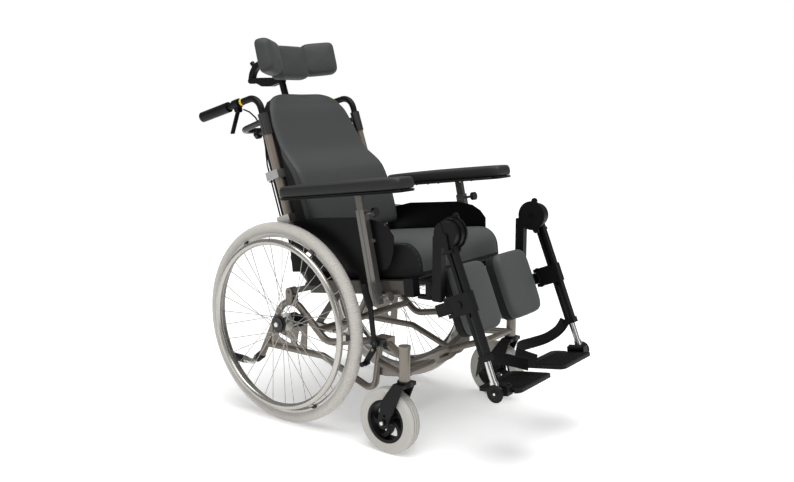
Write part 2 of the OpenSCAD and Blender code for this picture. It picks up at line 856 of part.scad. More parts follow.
// Caster tyre with tread grooves
module caster_tyre(side) {
    half = caster_w / 2;
    chair() on(side) color(tyre_grey) translate([-stem_x, caster_y, caster_r]) rotate([0, 90, 0])
        rotate_extrude($fn = 72) difference() {
            union() {
                translate([caster_rim_r, -half]) square([caster_r - caster_rim_r - tyre_edge, caster_w]);
                translate([caster_rim_r, tyre_edge - half])
                    square([caster_r - caster_rim_r, caster_w - 2 * tyre_edge]);
                for (s = [-1, 1])
                    translate([caster_r - tyre_edge, s * (half - tyre_edge)]) circle(r = tyre_edge);
            }
            for (i = [0 : tread_grooves - 1])
                translate([caster_r - groove_depth, (i - (tread_grooves - 1) / 2) * tyre_edge - groove_w / 2])
                    square([groove_depth + cut, groove_w]);
        }
}

// Caster hub with curved spokes
module caster_hub(side) {
    half = caster_w / 2;
    ring = caster_rim_r - 9;
    arc = (ring + caster_boss_r) / 2;
    chair() on(side) translate([-stem_x, caster_y, caster_r]) rotate([0, 90, 0]) {
        color(black) difference() {
            union() {
            translate([0, 0, -half * 0.9]) linear_extrude(caster_w * 0.9) difference() {
                circle(r = caster_rim_r, $fn = 72);
                circle(r = ring, $fn = 72);
            }
            translate([0, 0, -half * 0.55]) linear_extrude(caster_w * 0.55)
                for (i = [0 : caster_spokes - 1]) rotate(360 * i / caster_spokes)
                    intersection() {
                        translate([arc * 0.5, arc * 0.75]) difference() {
                            circle(r = arc * 0.9 + caster_spoke_w / 2);
                            circle(r = arc * 0.9 - caster_spoke_w / 2);
                        }
                        translate([0, -caster_rim_r * 0.5]) square([ring + 4, caster_rim_r]);
                        circle(r = ring + 4);
                    }
            translate([0, 0, -half]) cylinder(h = caster_w, r = caster_boss_r);
            }
            translate([0, 0, -half - cut]) cylinder(h = caster_w + 2 * cut, r = caster_bolt_r + fit);
        }
    }
}

// Caster fork with its stem, and the axle bolt through both legs
module caster_fork(side) {
    inner = caster_w / 2 + fork_gap;
    top = [stem_y, head_z - gap - fork_crown_h / 2];
    axle = [caster_y, caster_r];
    knee = axle + [fork_knee[0] - caster_trail * 0.35, fork_knee[1] + 12];
    chair() on(side) translate([-stem_x, 0, 0]) {
        color(black) {
            translate([0, stem_y, head_z - gap - fork_crown_h]) cylinder(h = fork_crown_h, r = fork_crown_r);
            translate([0, stem_y, head_z - gap - 1]) cylinder(h = head_tube_h - 2, r = stem_r);
            box([-inner - fork_t, stem_y - fork_crown_r * 0.8, top[1] - fork_crown_h / 2],
                [inner + fork_t, stem_y + fork_crown_r * 0.8, top[1] + fork_crown_h * 0.2]);
            for (x = [-inner - fork_t, inner]) plate_x(x, x + fork_t) difference() {
                union() {
                    polygon([[stem_y - fork_crown_r * 0.8, top[1] + fork_crown_h * 0.2],
                        [stem_y + fork_crown_r * 0.8, top[1] + fork_crown_h * 0.2],
                        knee + [fork_knee_r * 0.9, 0], axle + [fork_end_r, 4], axle - [fork_end_r, -6],
                        knee - [fork_knee_r, 6]]);
                    circle_at(axle, fork_end_r);
                }
                circle_at(axle + [-4, fork_hole_up], caster_bolt_r - 1);
            }
        }
        color(bright) {
            pin_x(-inner - fork_t - 3, inner + fork_t + 3, axle, caster_bolt_r);
            for (x = [-inner - fork_t - 5, inner + fork_t]) pin_x(x, x + 5, axle, caster_bolt_r * 1.7);
        }
    }
}

// Seat frame: rails, cross tubes, pan, recline plates and the arm for the tilt spring
module seat_frame() {
    eye = rot(seat_rake, tilt_rod_eye - [tilt_y, tilt_z]);
    knee = rot(seat_rake, spring_arm_knee - [tilt_y, tilt_z]);
    recline = rot(seat_rake, [recline_y - tilt_y, recline_z - tilt_z]);
    lower_eye = rot(seat_rake, recline_eye - [tilt_y, tilt_z]);
    mid = rail_low + rail_h / 2;
    chair() seat_space() {
        color(taupe) both() difference() {
            union() {
                box([-side_x - rail_w / 2, -rail_front, rail_low], [-side_x + rail_w / 2, rail_rear, rail_top]);
                plate_x(-side_x - rail_w / 2, -side_x + rail_w / 2) {
                    circle_at([0, 0], pivot_lug_r);
                    slot([0, 0], [rail_rear - link_r, mid], link_r);
                }
                plate_x(-side_x - rail_w / 2, -side_x - rail_w / 2 + plate_t) {
                    polygon([[recline[0] - recline_plate_d, mid],
                        [recline[0] - recline_plate_d, recline[1]], [recline[0], recline[1] + recline_lug_r],
                        recline + [recline_lug_r, 0], [rail_rear, mid]]);
                    circle_at(recline, recline_lug_r);
                }
            }
            pin_x(-side_x - rail_w, -side_x, recline, pivot_pin_r + fit);
        }
        color(bright) both() pin_x(-side_x - rail_w / 2 - pivot_ear_t - gap, -side_x + rail_w / 2 + pivot_ear_t + gap,
            [0, 0], pivot_pin_r);
        color(taupe) {
            for (y = [-cross_front, -cross_rear])
                pin_x(-side_x + rail_w / 2, side_x - rail_w / 2, [y, mid], cross_r);
            box([-side_x + rail_w / 2, -rail_front + bracket_w, rail_top - pan_t],
                [side_x - rail_w / 2, -pan_rear, rail_top]);
        }
        color(black) {
            plate_x(-spring_arm_t / 2, spring_arm_t / 2) {
                slot([-cross_rear, mid], knee, spring_arm_w / 2);
                slot(knee, eye, spring_arm_w / 2);
            }
            pin_x(-spring_eye_r - fork_plate_t, spring_eye_r + fork_plate_t, eye, spring_pin_r);
            for (s = [-1, 1]) {
                x = recline_spring_x + s * (cylinder_r + gap + fork_plate_t / 2);
                plate_x(x - fork_plate_t / 2, x + fork_plate_t / 2) difference() {
                    slot([-cross_rear, mid], lower_eye, spring_eye_r);
                    circle_at(lower_eye, spring_pin_r + fit);
                }
            }
        }
    }
}

// Seat cushion
module seat_cushion() {
    chair() seat_space() color(fabric)
        translate([0, -cushion_rear - cushion_d / 2, rail_top + seat_gap])
            pad(cushion_w, cushion_d, 7, cushion_h, cushion_edge, crown);
}

// Side guards with tabs down to the rails
module side_guards() {
    chair() seat_space() both() color(black)
        plate_x(-guard_x - guard_t, -guard_x) polygon(guard_points);
}

// Brackets on the rail ends that the legrests hook into
module hanger_brackets() {
    axis = [-swing_reach + 0, 0];
    chair() seat_space() both() color(black) difference() {
        union() {
            box([-side_x - rail_w / 2 - 5, -rail_front - 2, rail_low - 6],
                [-side_x + rail_w / 2 + 5, -rail_front + bracket_w, rail_top + 6]);
        }
        box([-side_x - rail_w / 2, -rail_front, rail_low], [-side_x + rail_w / 2, -rail_front + bracket_w + cut, rail_top]);
    }
    chair() both() color(black) for (z = [post_low + 2, post_low + 2 + bracket_h - lug_h])
        difference() {
            translate([-swing_x, 0, z]) linear_extrude(lug_h)
                slot([0, -swing_reach], [0, -swing_reach + lug_r * 2], lug_r);
            translate([-swing_x, -swing_reach, z - cut]) cylinder(h = lug_h + 2 * cut, r = swing_pin_r + fit);
        }
}

// Armrest sockets: grooved aluminium profiles with their clamping knobs
module armrest_sockets() {
    chair() seat_space() both() translate([-arm_post_x, socket_y, socket_low]) rotate([-arm_post_lean, 0, 0]) {
        color(bright) difference() {
            box([-socket_w / 2, -socket_d / 2, 0], [socket_w / 2, socket_d / 2, socket_l]);
            box([-socket_w / 2 + socket_wall, -socket_d / 2 + socket_wall, socket_wall],
                [socket_w / 2 - socket_wall, socket_d / 2 - socket_wall, socket_l + cut]);
            for (x = [-socket_w / 2 - cut, socket_w / 2 - socket_wall * 0.4])
                box([x, -socket_wall, -cut], [x + cut + socket_wall * 0.4, socket_wall, socket_l + cut]);
        }
        color(black) {
            for (z = [knob_r * 1.4, socket_l - knob_r]) {
                pin_y(-socket_d / 2 - knob_stub_l, -socket_d / 2, [0, z], knob_stub_r);
                pin_y(-socket_d / 2 - knob_stub_l - knob_h, -socket_d / 2 - knob_stub_l, [0, z], knob_r);
            }
            box([socket_w / 2, -socket_d / 2, -socket_low + rail_low + 8],
                [arm_post_x - side_x - rail_w / 2, socket_d / 2, -socket_low + rail_top - 6]);
        }
    }
}

// Armrest post that slides in its socket, with the tray that carries the pad
module armrest_post(side) {
    w = socket_w / 2 - socket_wall - post_gap;
    d = socket_d / 2 - socket_wall - post_gap;
    foot = [socket_y, socket_low];
    rise = (armpad_z - tray_t - socket_low) / cos(arm_post_lean);
    chair() seat_space() on(side) {
        color(bright) translate([-arm_post_x, socket_y, socket_low]) rotate([-arm_post_lean, 0, 0])
            box([-w, -d, socket_l - post_in], [w, d, rise]);
        color(black) translate([-arm_post_x, -cushion_rear - armpad_l / 2 - 6, armpad_z - tray_t])
            linear_extrude(tray_t) union() {
                square([armpad_w - 2 * tray_margin - armpad_w * 0.6, armpad_l - 4 * tray_margin], center = true);
                square([armpad_w - 2 * tray_margin, armpad_l - armpad_w], center = true);
                for (s = [-1, 1]) translate([0, s * (armpad_l - armpad_w) / 2])
                    circle(r = armpad_w / 2 - tray_margin);
            }
    }
}

// Armrest pad
module armrest_pad(side) {
    chair() seat_space() on(side) color(fabric)
        translate([-arm_post_x - 4, -cushion_rear - armpad_l / 2 - 6, armpad_z + seat_gap])
            pad(armpad_w, armpad_l, 5, armpad_h, arm_edge, arm_crown);
}

// Back frame: canes, straps, clamps, sleeves, push bar and headrest clamp
module back_frame() {
    strap_y = back_shell_d + seat_gap;
    bar_y = strap_y + strap_t;
    chair() back_space() {
        color(taupe) both() difference() {
            union() {
                translate([-cane_x, 0, 0]) cylinder(h = cane_l, r = cane_r);
                pin_x(-cane_x - eye_w / 2, -cane_x + eye_w / 2, [0, 0], eye_r);
            }
            translate([-cane_x, 0, cane_l - handle_in - 4 * cut])
                cylinder(h = handle_in + 5 * cut, r = handle_tube_r + fit);
        }
        color(bright) both() pin_x(-side_x - rail_w / 2, -cane_x + eye_w / 2, [0, 0], pivot_pin_r);
        color(taupe) for (z = [strap_low, strap_high]) {
            box([-strap_reach, strap_y, z - strap_h / 2], [strap_reach, strap_y + strap_t, z + strap_h / 2]);
            both() box([-strap_reach, clamp_d - cane_r - strap_t, z - strap_h / 2],
                [-strap_reach + strap_ear, strap_y + strap_t, z + strap_h / 2]);
        }
        color(bright) both() for (z = [strap_low, strap_high])
            box([-cane_x - clamp_w / 2, -cane_r - 3, z - clamp_t / 2],
                [-cane_x + clamp_w / 2, clamp_d - cane_r, z + clamp_t / 2]);
        color(black) {
            both() difference() {
                union() {
                    translate([-cane_x, 0, cane_l]) cylinder(h = sleeve_l, r = sleeve_r);
                    pin_y(0, 34, [-cane_x, cane_l + knob_r], knob_stub_r + 2);
                    pin_y(34, 34 + knob_h, [-cane_x, cane_l + knob_r], knob_r);
                }
                translate([-cane_x, 0, cane_l - cut]) cylinder(h = sleeve_l + 2 * cut, r = handle_tube_r + fit);
            }
            tube([[-cane_x, sleeve_r - 4, push_bar_up], [-cane_x, push_bar_back, push_bar_up],
                [cane_x, push_bar_back, push_bar_up], [cane_x, sleeve_r - 4, push_bar_up]],
                push_bar_r, [0, push_bar_bend, push_bar_bend, 0]);
            difference() {
                box([-head_clamp_w / 2, head_post_back - head_clamp_d / 2 + 6, push_bar_up - head_clamp_h / 2],
                    [head_clamp_w / 2, push_bar_back + push_bar_r + 4, push_bar_up + head_clamp_h / 2]);
                box([-head_post_w / 2 - post_gap, head_post_back - head_post_w / 2 - post_gap, push_bar_up - head_clamp_h],
                    [head_post_w / 2 + post_gap, head_post_back + head_post_w / 2 + post_gap, push_bar_up + head_clamp_h]);
            }
            for (s = [-1, 1]) {
                x = recline_spring_x + s * (spring_eye_w / 2 + gap + fork_plate_t / 2);
                plate_x(x - fork_plate_t / 2, x + fork_plate_t / 2) difference() {
                    slot([bar_y + spring_eye_r - strap_t, recline_rod_eye[1]], recline_rod_eye, spring_eye_r);
                    circle_at(recline_rod_eye, spring_pin_r + open_pin_gap);
                }
            }
            box([recline_spring_x - spring_eye_r - fork_plate_t, strap_y, strap_low],
                [recline_spring_x + spring_eye_r + fork_plate_t, bar_y, strap_high]);
        }
    }
}

// Depth of the shell's front edge at a row, and its half width there
function wall_front(r) = max(back_wall_front, r[2] + back_edge - 2);
function shell_half(r) = min(r[1], back_shell_w / 2);

// Back shell: side walls that wrap the cushion, with a panel between them
module back_shell() {
    rows = [for (i = [0 : shell_rows - 1]) back_rows[i]];
    top = rows[shell_rows - 1];
    rear = [for (r = rows) [min(back_shell_d, back_shell_d - (r[0] - push_bar_up) * back_shell_d * 0.45
        / (top[0] - push_bar_up)), r[0]]];
    outer = [for (r = rows) [shell_half(r), r[0]]];
    inner = [for (r = rows) [shell_half(r) - shell_t, r[0]]];
    chair() back_space() color(black) {
        for (s = [-1, 1]) intersection() {
            translate([0, 2 * back_shell_d, 0]) rotate([90, 0, 0]) linear_extrude(4 * back_shell_d)
                polygon([for (p = concat(outer, flip(inner))) [s * p[0], p[1]]]);
            plate_x(-back_shell_w, back_shell_w) polygon(concat([for (r = rows) [wall_front(r), r[0]]], flip(rear)));
        }
        intersection() {
            translate([0, 2 * back_shell_d, 0]) rotate([90, 0, 0]) linear_extrude(4 * back_shell_d)
                polygon(concat([for (p = inner) p + [elbow_step, 0]], flip([for (p = inner) [-p[0] - elbow_step, p[1]]])));
            plate_x(-back_shell_w, back_shell_w) polygon(concat([for (r = rows) [r[3] + seat_gap, r[0]]],
                flip([for (r = rows) [r[3] + seat_gap + shell_t, r[0]]])));
        }
    }
}

function flip(list) = [for (i = [len(list) - 1 : -1 : 0]) list[i]];

// Ring of the back cushion at a row, from the middle of its rear round both sides
function back_ring(r) = let(
    inside = shell_half(r) - shell_t - gap,
    wall = wall_front(r) - gap,
    half = [[inside * 0.5, r[3]], [inside, r[3]], [inside, wall], [shell_half(r), wall - seat_gap],
        [r[1], r[2] + back_edge * 0.6], [r[1] - back_edge * 0.25, r[2] + back_edge * 0.3],
        [r[1] - back_edge, r[2]], [r[1] * 0.55, r[2] + back_hollow * 0.5]])
    concat([for (q = half) [q[0], q[1], r[0]]], [for (q = flip(half)) [-q[0], q[1], r[0]]]);

// Back cushion, deep and wide at the hips and thin at the shoulders
module back_cushion() {
    chair() back_space() color(fabric) skin([for (r = back_rows) back_ring(r)]);
}

// Push handles: bent tubes that slide in the canes, with their grips and lever clamps
module push_handles() {
    along = rot(handle_droop, [1, 0]);
    corner = [0, handle_corner_up];
    tip = corner + along * handle_reach;
    chair() back_space() both() {
        color(black) difference() {
            union() {
                tube([[-cane_x, 0, cane_l - handle_in], at_x(-cane_x, corner), at_x(-cane_x, tip - along * 2)],
                    handle_tube_r, [0, handle_bend, 0]);
                rod(at_x(-cane_x, corner + along * (lever_at - lever_clamp_l / 2)),
                    at_x(-cane_x, corner + along * (lever_at + lever_clamp_l / 2)), lever_clamp_r);
                plate_x(-cane_x - lever_w / 2 - gap - 3, -cane_x - lever_w / 2 - gap)
                    slot(corner + along * lever_at, corner + along * lever_at + [0, -lever_clamp_r - 4], 8);
                plate_x(-cane_x + lever_w / 2 + gap, -cane_x + lever_w / 2 + gap + 3)
                    slot(corner + along * lever_at, corner + along * lever_at + [0, -lever_clamp_r - 4], 8);
                rod(at_x(-cane_x, tip - along * grip_l), at_x(-cane_x, tip), grip_r);
            }
            pin_x(-cane_x - lever_w, -cane_x + lever_w, corner + along * lever_at + [0, -lever_clamp_r - 4], lever_pin_r + fit);
        }
    }
}

// Release lever under a push handle
module handle_lever(side) {
    along = rot(handle_droop, [1, 0]);
    pivot = [0, handle_corner_up] + along * lever_at + [0, -lever_clamp_r - 4];
    tip = pivot + rot(-lever_angle, [lever_l, 0]);
    chair() back_space() on(side) color(black) {
        plate_x(-cane_x - lever_w / 2, -cane_x + lever_w / 2) slot(pivot, tip, lever_t / 2);
        pin_x(-cane_x - lever_w / 2 - gap - 3, -cane_x + lever_w / 2 + gap + 3, pivot, lever_pin_r);
    }
}

// Headrest post with the level plate behind its top
module headrest_post() {
    sag = head_plate_sag;
    chair() color(black) {
        back_space() box([-head_post_w / 2, head_post_back - head_post_w / 2, head_post_low],
            [head_post_w / 2, head_post_back + head_post_w / 2, head_post_top]);
        difference() {
            plate_x(-head_plate_w / 2, head_plate_w / 2) union() {
                polygon([head_base + [-head_post_w * 0.6, head_plate_t], head_base + [-head_post_w * 0.6, -head_plate_t],
                    head_base + [head_plate_l * 0.3, -sag], head_base + [head_plate_l * 0.6, -sag],
                    head_base + [head_plate_l * 0.86, -head_plate_t], head_base + [head_plate_l * 0.86, head_plate_t]]);
            }
        }
        for (s = [-1, 1]) {
            x = s > 0 ? head_arm_w / 2 + gap : -head_arm_w / 2 - gap - 3;
            plate_x(x, x + 3) difference() {
                slot(head_pivot - [head_plate_l * 0.2, 0], head_pivot, 9);
                circle_at(head_pivot, head_pin_r + fit);
            }
        }
    }
}

// Curved arm from the plate to the back of the headrest pad
module headrest_arm() {
    mid = head_pivot - [head_arm_r, 0];
    top = mid + rot(head_arm_sweep, [head_arm_r, 0]);
    joint = head_joint;
    chair() color(black) {
        plate_x(-head_arm_w / 2, head_arm_w / 2) {
            intersection() {
                translate(mid) difference() {
                    circle(r = head_arm_r + head_arm_t / 2, $fn = 96);
                    circle(r = head_arm_r - head_arm_t / 2, $fn = 96);
                }
                polygon([mid, mid + [2 * head_arm_r, 0], mid + rot(head_arm_sweep / 2, [2 * head_arm_r, 0]),
                    mid + rot(head_arm_sweep, [2 * head_arm_r, 0])]);
            }
            circle_at(head_pivot, head_arm_t / 2);
        }
        pin_x(-head_arm_w / 2 - gap - 3, head_arm_w / 2 + gap + 3, head_pivot, head_pin_r);
        plate_x(-head_arm_w / 2 - knuckle_t, head_arm_w / 2 + knuckle_t) difference() {
            slot(top, joint, head_ball_r);
            circle_at(joint, head_pin_r + fit);
        }
        for (a = [0.55, 0.95]) {
            p = mid + rot(head_arm_sweep * a, [head_arm_r, 0]);
            q = mid + rot(head_arm_sweep * a, [head_arm_r + head_arm_t / 2 + 16, 0]);
            rod(at_x(0, p), at_x(0, q), 8);
        }
    }
}

// Headrest pad: a middle and two wings turned forward, with the hinge piece on its back
module headrest_pad() {
    half = head_arm_w / 2 + knuckle_t;
    chair() translate([0, head_pad_y, head_pad_z]) rotate([-head_rake, 0, 0]) {
        color(fabric) {
            translate([0, head_pad_t / 2, 0]) rotate([90, 0, 0])
                pad(head_mid_w + 2 * wing_lap, head_pad_h, 5, head_pad_t - head_crown, head_edge, head_crown);
            for (s = [-1, 1]) translate([s * head_mid_w / 2, -head_pad_t / 2, wing_rise]) rotate([0, 0, -s * wing_turn])
                translate([s * (head_wing_w / 2 - wing_lap), head_pad_t - head_crown, 0]) rotate([90, 0, 0])
                    pad(head_wing_w, head_pad_h - head_crown, 4, head_pad_t - head_crown, head_edge, head_crown);
        }
        color(black) {
            for (x = [-half - gap - knuckle_t, half + gap])
                plate_x(x, x + knuckle_t) slot([head_hinge, 0], [head_pad_t / 2 - knuckle_t, 0], head_ball_r * 0.8);
            pin_x(-half - gap - knuckle_t, half + gap + knuckle_t, [head_hinge, 0], head_pin_r);
        }
    }
}

// Unit vector from the fixed eye of a spring to its rod eye
function spring_dir(a, b) = unit(b - a);

// Spring cylinder from its fixed eye, as a tube that its rod slides in
module spring_cylinder(x, a, b, l) {
    u = spring_dir(a, b);
    difference() {
        union() {
            pin_x(x - spring_eye_w / 2, x + spring_eye_w / 2, a, spring_eye_r);
            rod(at_x(x, a), at_x(x, a + u * (spring_eye_r + 5)), spring_eye_w / 2 - 1);
            rod(at_x(x, a + u * (spring_eye_r + 2)), at_x(x, a + u * l), cylinder_r);
            pin_x(x - spring_eye_r - fork_plate_t, x + spring_eye_r + fork_plate_t, a, spring_pin_r);
        }
        rod(at_x(x, a + u * spring_eye_r * 2), at_x(x, a + u * (l + cut)), rod_r + fit);
    }
}

// Tilt spring cylinder
module tilt_cylinder() {
    chair() color(bright) spring_cylinder(0, tilt_eye, tilt_rod_eye, cylinder_l);
}

// Tilt spring rod with the fork that takes the seat's arm
module tilt_rod() {
    u = spring_dir(tilt_eye, tilt_rod_eye);
    total = norm(tilt_rod_eye - tilt_eye);
    root = tilt_eye + u * (total - clevis_l);
    chair() {
        color(bright) rod(at_x(0, tilt_eye + u * (cylinder_l - 80)), at_x(0, root + u), rod_r);
        color(black) difference() {
            union() {
                rod(at_x(0, root), at_x(0, root + u * 20), cylinder_r);
                plate_x(-cylinder_r, cylinder_r) slot(root + u * 12, root + u * 26, cylinder_r);
                for (x = [-spring_arm_t / 2 - gap - fork_plate_t, spring_arm_t / 2 + gap])
                    plate_x(x, x + fork_plate_t) slot(root + u * 16, tilt_rod_eye, spring_eye_r);
            }
            pin_x(-2 * spring_eye_r, 2 * spring_eye_r, tilt_rod_eye, spring_pin_r + open_pin_gap);
        }
    }
}

// Recline spring cylinder
module recline_cylinder() {
    chair() color(black) spring_cylinder(recline_spring_x, recline_eye, back_point(recline_rod_eye), recline_cylinder_l);
}

// Recline spring rod with its eye
module recline_rod() {
    top = back_point(recline_rod_eye);
    u = spring_dir(recline_eye, top);
    chair() color(bright) {
        rod(at_x(recline_spring_x, recline_eye + u * (recline_cylinder_l - 60)),
            at_x(recline_spring_x, top - u * 3), rod_r);
        pin_x(recline_spring_x - spring_eye_w / 2, recline_spring_x + spring_eye_w / 2, top, spring_eye_r);
        pin_x(recline_spring_x - spring_eye_r - fork_plate_t, recline_spring_x + spring_eye_r + fork_plate_t, top, spring_pin_r);
    }
}

// Legrest hanger: swing barrel, arm, post and the inner half of the knee drum
module leg_hanger(side) {
    z0 = post_low + 2 + lug_h + gap;
    z1 = post_low + 2 + bracket_h - lug_h - gap;
    knee = [knee_y, knee_z];
    chair() on(side) color(black) {
        difference() {
            union() {
                translate([-swing_x, -swing_reach, z0]) cylinder(h = z1 - z0, r = lug_r);
                box([-swing_x - post_w / 2 + 2, post_y, z0], [-swing_x + post_w / 2 - 2, -swing_reach, z1]);
                box([-swing_x - post_w / 2, post_y - post_d / 2, post_low],
                    [-swing_x + post_w / 2, post_y + post_d / 2, knee_z - knee_drum_r * 0.3]);
                pin_x(-knee_split_x + gap / 2, -knee_inner_x, knee, knee_drum_r);
                pin_x(-knee_inner_x - knee_flange_t, -knee_inner_x, knee, knee_flange_r);
                plate_x(-knee_inner_x - knee_flange_t, -knee_inner_x) for (a = [100, 250])
                    slot(knee + rot(a, [knee_flange_r - 4, 0]), knee + rot(a, [knee_flange_r + 2, 0]), knee_lug_r);
            }
            pin_x(-knee_split_x - cut, -knee_inner_x + cut, knee, knee_pin_r + fit);
        }
        translate([-swing_x, -swing_reach, post_low]) cylinder(h = bracket_h + 4, r = swing_pin_r);
    }
}

// Legrest upper part: knee hub and grooved profile with its end collar and clamp
module leg_upper(side) {
    x0 = -knee_outer_x;
    x1 = -knee_split_x - gap / 2;
    mid = (x0 + x1) / 2;
    chair() on(side) leg_space() {
        color(black) difference() {
            union() {
                pin_x(x0, x1, [0, 0], knee_drum_r - 5);
                box([mid - profile_w / 2, -profile_d / 2, -profile_l], [mid + profile_w / 2, profile_d / 2, 0]);
                box([mid - profile_w / 2 - collar_t, -profile_d / 2 - collar_t, -profile_l],
                    [mid + profile_w / 2 + collar_t, profile_d / 2 + collar_t, -profile_l + collar_l]);
                box([mid - profile_w / 2 - collar_t, -profile_d / 2 - collar_t, -clamp_at - clamp_h / 2],
                    [mid + profile_w / 2 + collar_t, profile_d / 2 + clamp_l, -clamp_at + clamp_h / 2]);
            }
            translate([mid, 0, -profile_l - cut]) cylinder(h = profile_l - 40, r = leg_tube_r + slide_fit);
            for (s = [-1, 1]) translate([mid + s * profile_w / 2, 0, -profile_l / 2])
                cube([2, 5, profile_l * 2], center = true);
            translate([mid - profile_w, calf_pin[1] - calf_hub_r - 1, -clamp_at - calf_arm_h / 2 - gap])
                cube([2 * profile_w, clamp_l, calf_arm_h + 2 * gap]);
            translate([mid + calf_pin[0], calf_pin[1], -clamp_at - clamp_h])
                cylinder(h = 2 * clamp_h, r = calf_pin_r + slide_fit);
        }
        color(bright) {
            pin_x(x1 - cut, -knee_inner_x - 3, [0, 0], knee_pin_r);
            pin_x(mid - profile_w / 2 - collar_t - 4, mid, [profile_d / 2 + 10, -clamp_at], 9);
        }
    }
}

// Release lever on the knee hub
module leg_release(side) {
    x1 = -knee_outer_x - gap;
    chair() on(side) leg_space() color(bright) {
        plate_x(x1 - release_t, x1) slot([0, -4], [6, -release_l], release_w / 2);
        box([x1 - release_t - 4, -release_bar_w / 2 + 4, -release_l - 5], [x1, release_bar_w / 2 + 4, -release_l + 3]);
    }
}

// Legrest sliding tube with its foot pivot end
module leg_lower(side) {
    mid = -(knee_outer_x + knee_split_x) / 2;
    chair() on(side) leg_space() {
        color(bright) rod([mid, 0, -profile_l + leg_tube_in], [mid, 0, -leg_l + foot_disc_r + 2], leg_tube_r);
        color(black) difference() {
            union() {
                translate([mid, 0, -leg_l + foot_disc_r + 1]) cylinder(h = 14, r = leg_tube_r + 2.5);
                pin_x(mid - foot_disc_t, mid + foot_disc_t, [0, -leg_l], foot_disc_r);
                plate_x(mid - foot_disc_t, mid + foot_disc_t)
                    slot([0, -leg_l], [0, -leg_l + foot_disc_r], leg_tube_r - 1);
            }
            pin_x(mid - 2 * foot_disc_t, mid + 2 * foot_disc_t, [0, -leg_l], calf_pin_r + fit);
        }
    }
}

// Foot bracket: disc pair on the foot pivot and the rod that the footplate flips on
module foot_bracket(side) {
    mid = -(knee_outer_x + knee_split_x) / 2;
    y0 = foot_pivot[0] - flip_barrel_l / 2 - 6;
    y1 = foot_pivot[0] + flip_barrel_l / 2 + 6;
    chair() on(side) color(black) foot_space() {
        for (x = [mid - foot_disc_t - gap - 4, mid + foot_disc_t + gap])
            pin_x(x, x + 4, foot_pivot, foot_disc_r);
        pin_x(mid - foot_disc_t - gap - 4, mid + foot_disc_t + gap + 4, foot_pivot, calf_pin_r);
        for (y = [y0 - 4, y1])
            box([mid + foot_disc_t + gap, y, foot_pivot[1] - foot_disc_r * 0.6], [-flip_x + 8, y + 4, flip_z + 6]);
        box([mid + foot_disc_t + gap, y0, foot_pivot[1] - foot_disc_r * 0.6],
            [mid + foot_disc_t + gap + 3.5, y1, foot_pivot[1] + foot_disc_r * 0.6]);
        pin_y(y0 - 4, y1 + 4, [-flip_x, flip_z], flip_pin_r);
    }
}

// Footplate with ribs on its tread and the barrel that it flips on
module footplate(side) {
    y0 = foot_pivot[0] - flip_barrel_l / 2 - 6 + gap;
    y1 = foot_pivot[0] + flip_barrel_l / 2 + 6 - gap;
    top = foot_top;
    r = foot_corner_r;
    x0 = -foot_inner - foot_w;
    front = -foot_rear - foot_d;
    chair() on(side) color(black) foot_space() {
        difference() {
            union() {
                translate([0, 0, top - foot_t]) linear_extrude(foot_t) {
                    translate([x0, front + r]) square([foot_w, foot_d - 2 * r]);
                    translate([x0 + r, front]) square([foot_w - 2 * r, foot_d]);
                    for (x = [x0 + r, -foot_inner - r], y = [front + r, -foot_rear - r]) translate([x, y]) circle(r = r);
                }
                pin_y(y0, y1, [-flip_x, flip_z], flip_barrel_r);
                for (i = [0 : floor((foot_d - 2 * r) / foot_rib_pitch)])
                    translate([x0 + 24, front + r + i * foot_rib_pitch - foot_rib_w / 2, top - 1])
                        cube([foot_w - 34, foot_rib_w, foot_rib_h + 1]);
            }
            pin_y(y0 - cut, y1 + cut, [-flip_x, flip_z], flip_pin_r + fit);
            box([x0 - cut, y1 , top - foot_t - cut], [-flip_x + 9, y1 + 12, flip_z + 20]);
            box([x0 - cut, y0 - 12, top - foot_t - cut], [-flip_x + 9, y0, flip_z + 20]);
        }
    }
}

// Calf bracket: swinging arm and the shell behind the pad
module calf_bracket(side) {
    mid = -(knee_outer_x + knee_split_x) / 2;
    pin = [mid, 0] + calf_pin;
    back = calf_back + calf_t + 6;
    chair() on(side) leg_space() color(black) {
        translate([pin[0], pin[1], -clamp_at - clamp_h / 2 - 2]) cylinder(h = clamp_h + 4, r = calf_pin_r);
        translate([0, 0, -clamp_at - calf_arm_h / 2]) linear_extrude(calf_arm_h) {
            translate(pin) circle(r = calf_hub_r);
            polygon([pin - [calf_arm_t / 2, 0], [pin[0] - calf_arm_t / 2, back + calf_arm_t],
                [-calf_inner_x - calf_w * 0.3, back + calf_arm_t], [-calf_inner_x - calf_w * 0.3, back],
                [pin[0] + calf_arm_t / 2, back], pin + [calf_arm_t / 2, 0]]);
        }
        translate([-calf_inner_x - calf_w * 0.92, back - calf_shell_t, -calf_from - calf_h * 0.92])
            cube([calf_w * 0.84, calf_shell_t, calf_h * 0.84]);
    }
}

// Calf pad
module calf_pad(side) {
    chair() on(side) leg_space() color(fabric)
        translate([-calf_inner_x - calf_w / 2, calf_back + calf_t + 2 - seat_gap, -calf_from - calf_h / 2]) rotate([90, 0, 0])
            pad(calf_w, calf_h, 5, calf_t - calf_shell_t, calf_edge, calf_crown);
}

// Control cables from the handles down the canes
cable_sides = 8;
module cable(points, r) {
    last = len(points) - 1;
    skin([for (i = [0 : last])
        let(u = unit(points[min(last, i + 1)] - points[max(0, i - 1)]),
            e = unit(cross([1, 0, 0.1], u)), f = cross(u, e))
        [for (k = [0 : cable_sides - 1]) points[i]
            + r * (e * cos(360 * k / cable_sides) + f * sin(360 * k / cable_sides))]]);
}
module control_cables() {
    chair() back_space() both() color(black) cable(cable_points, cable_r);
}

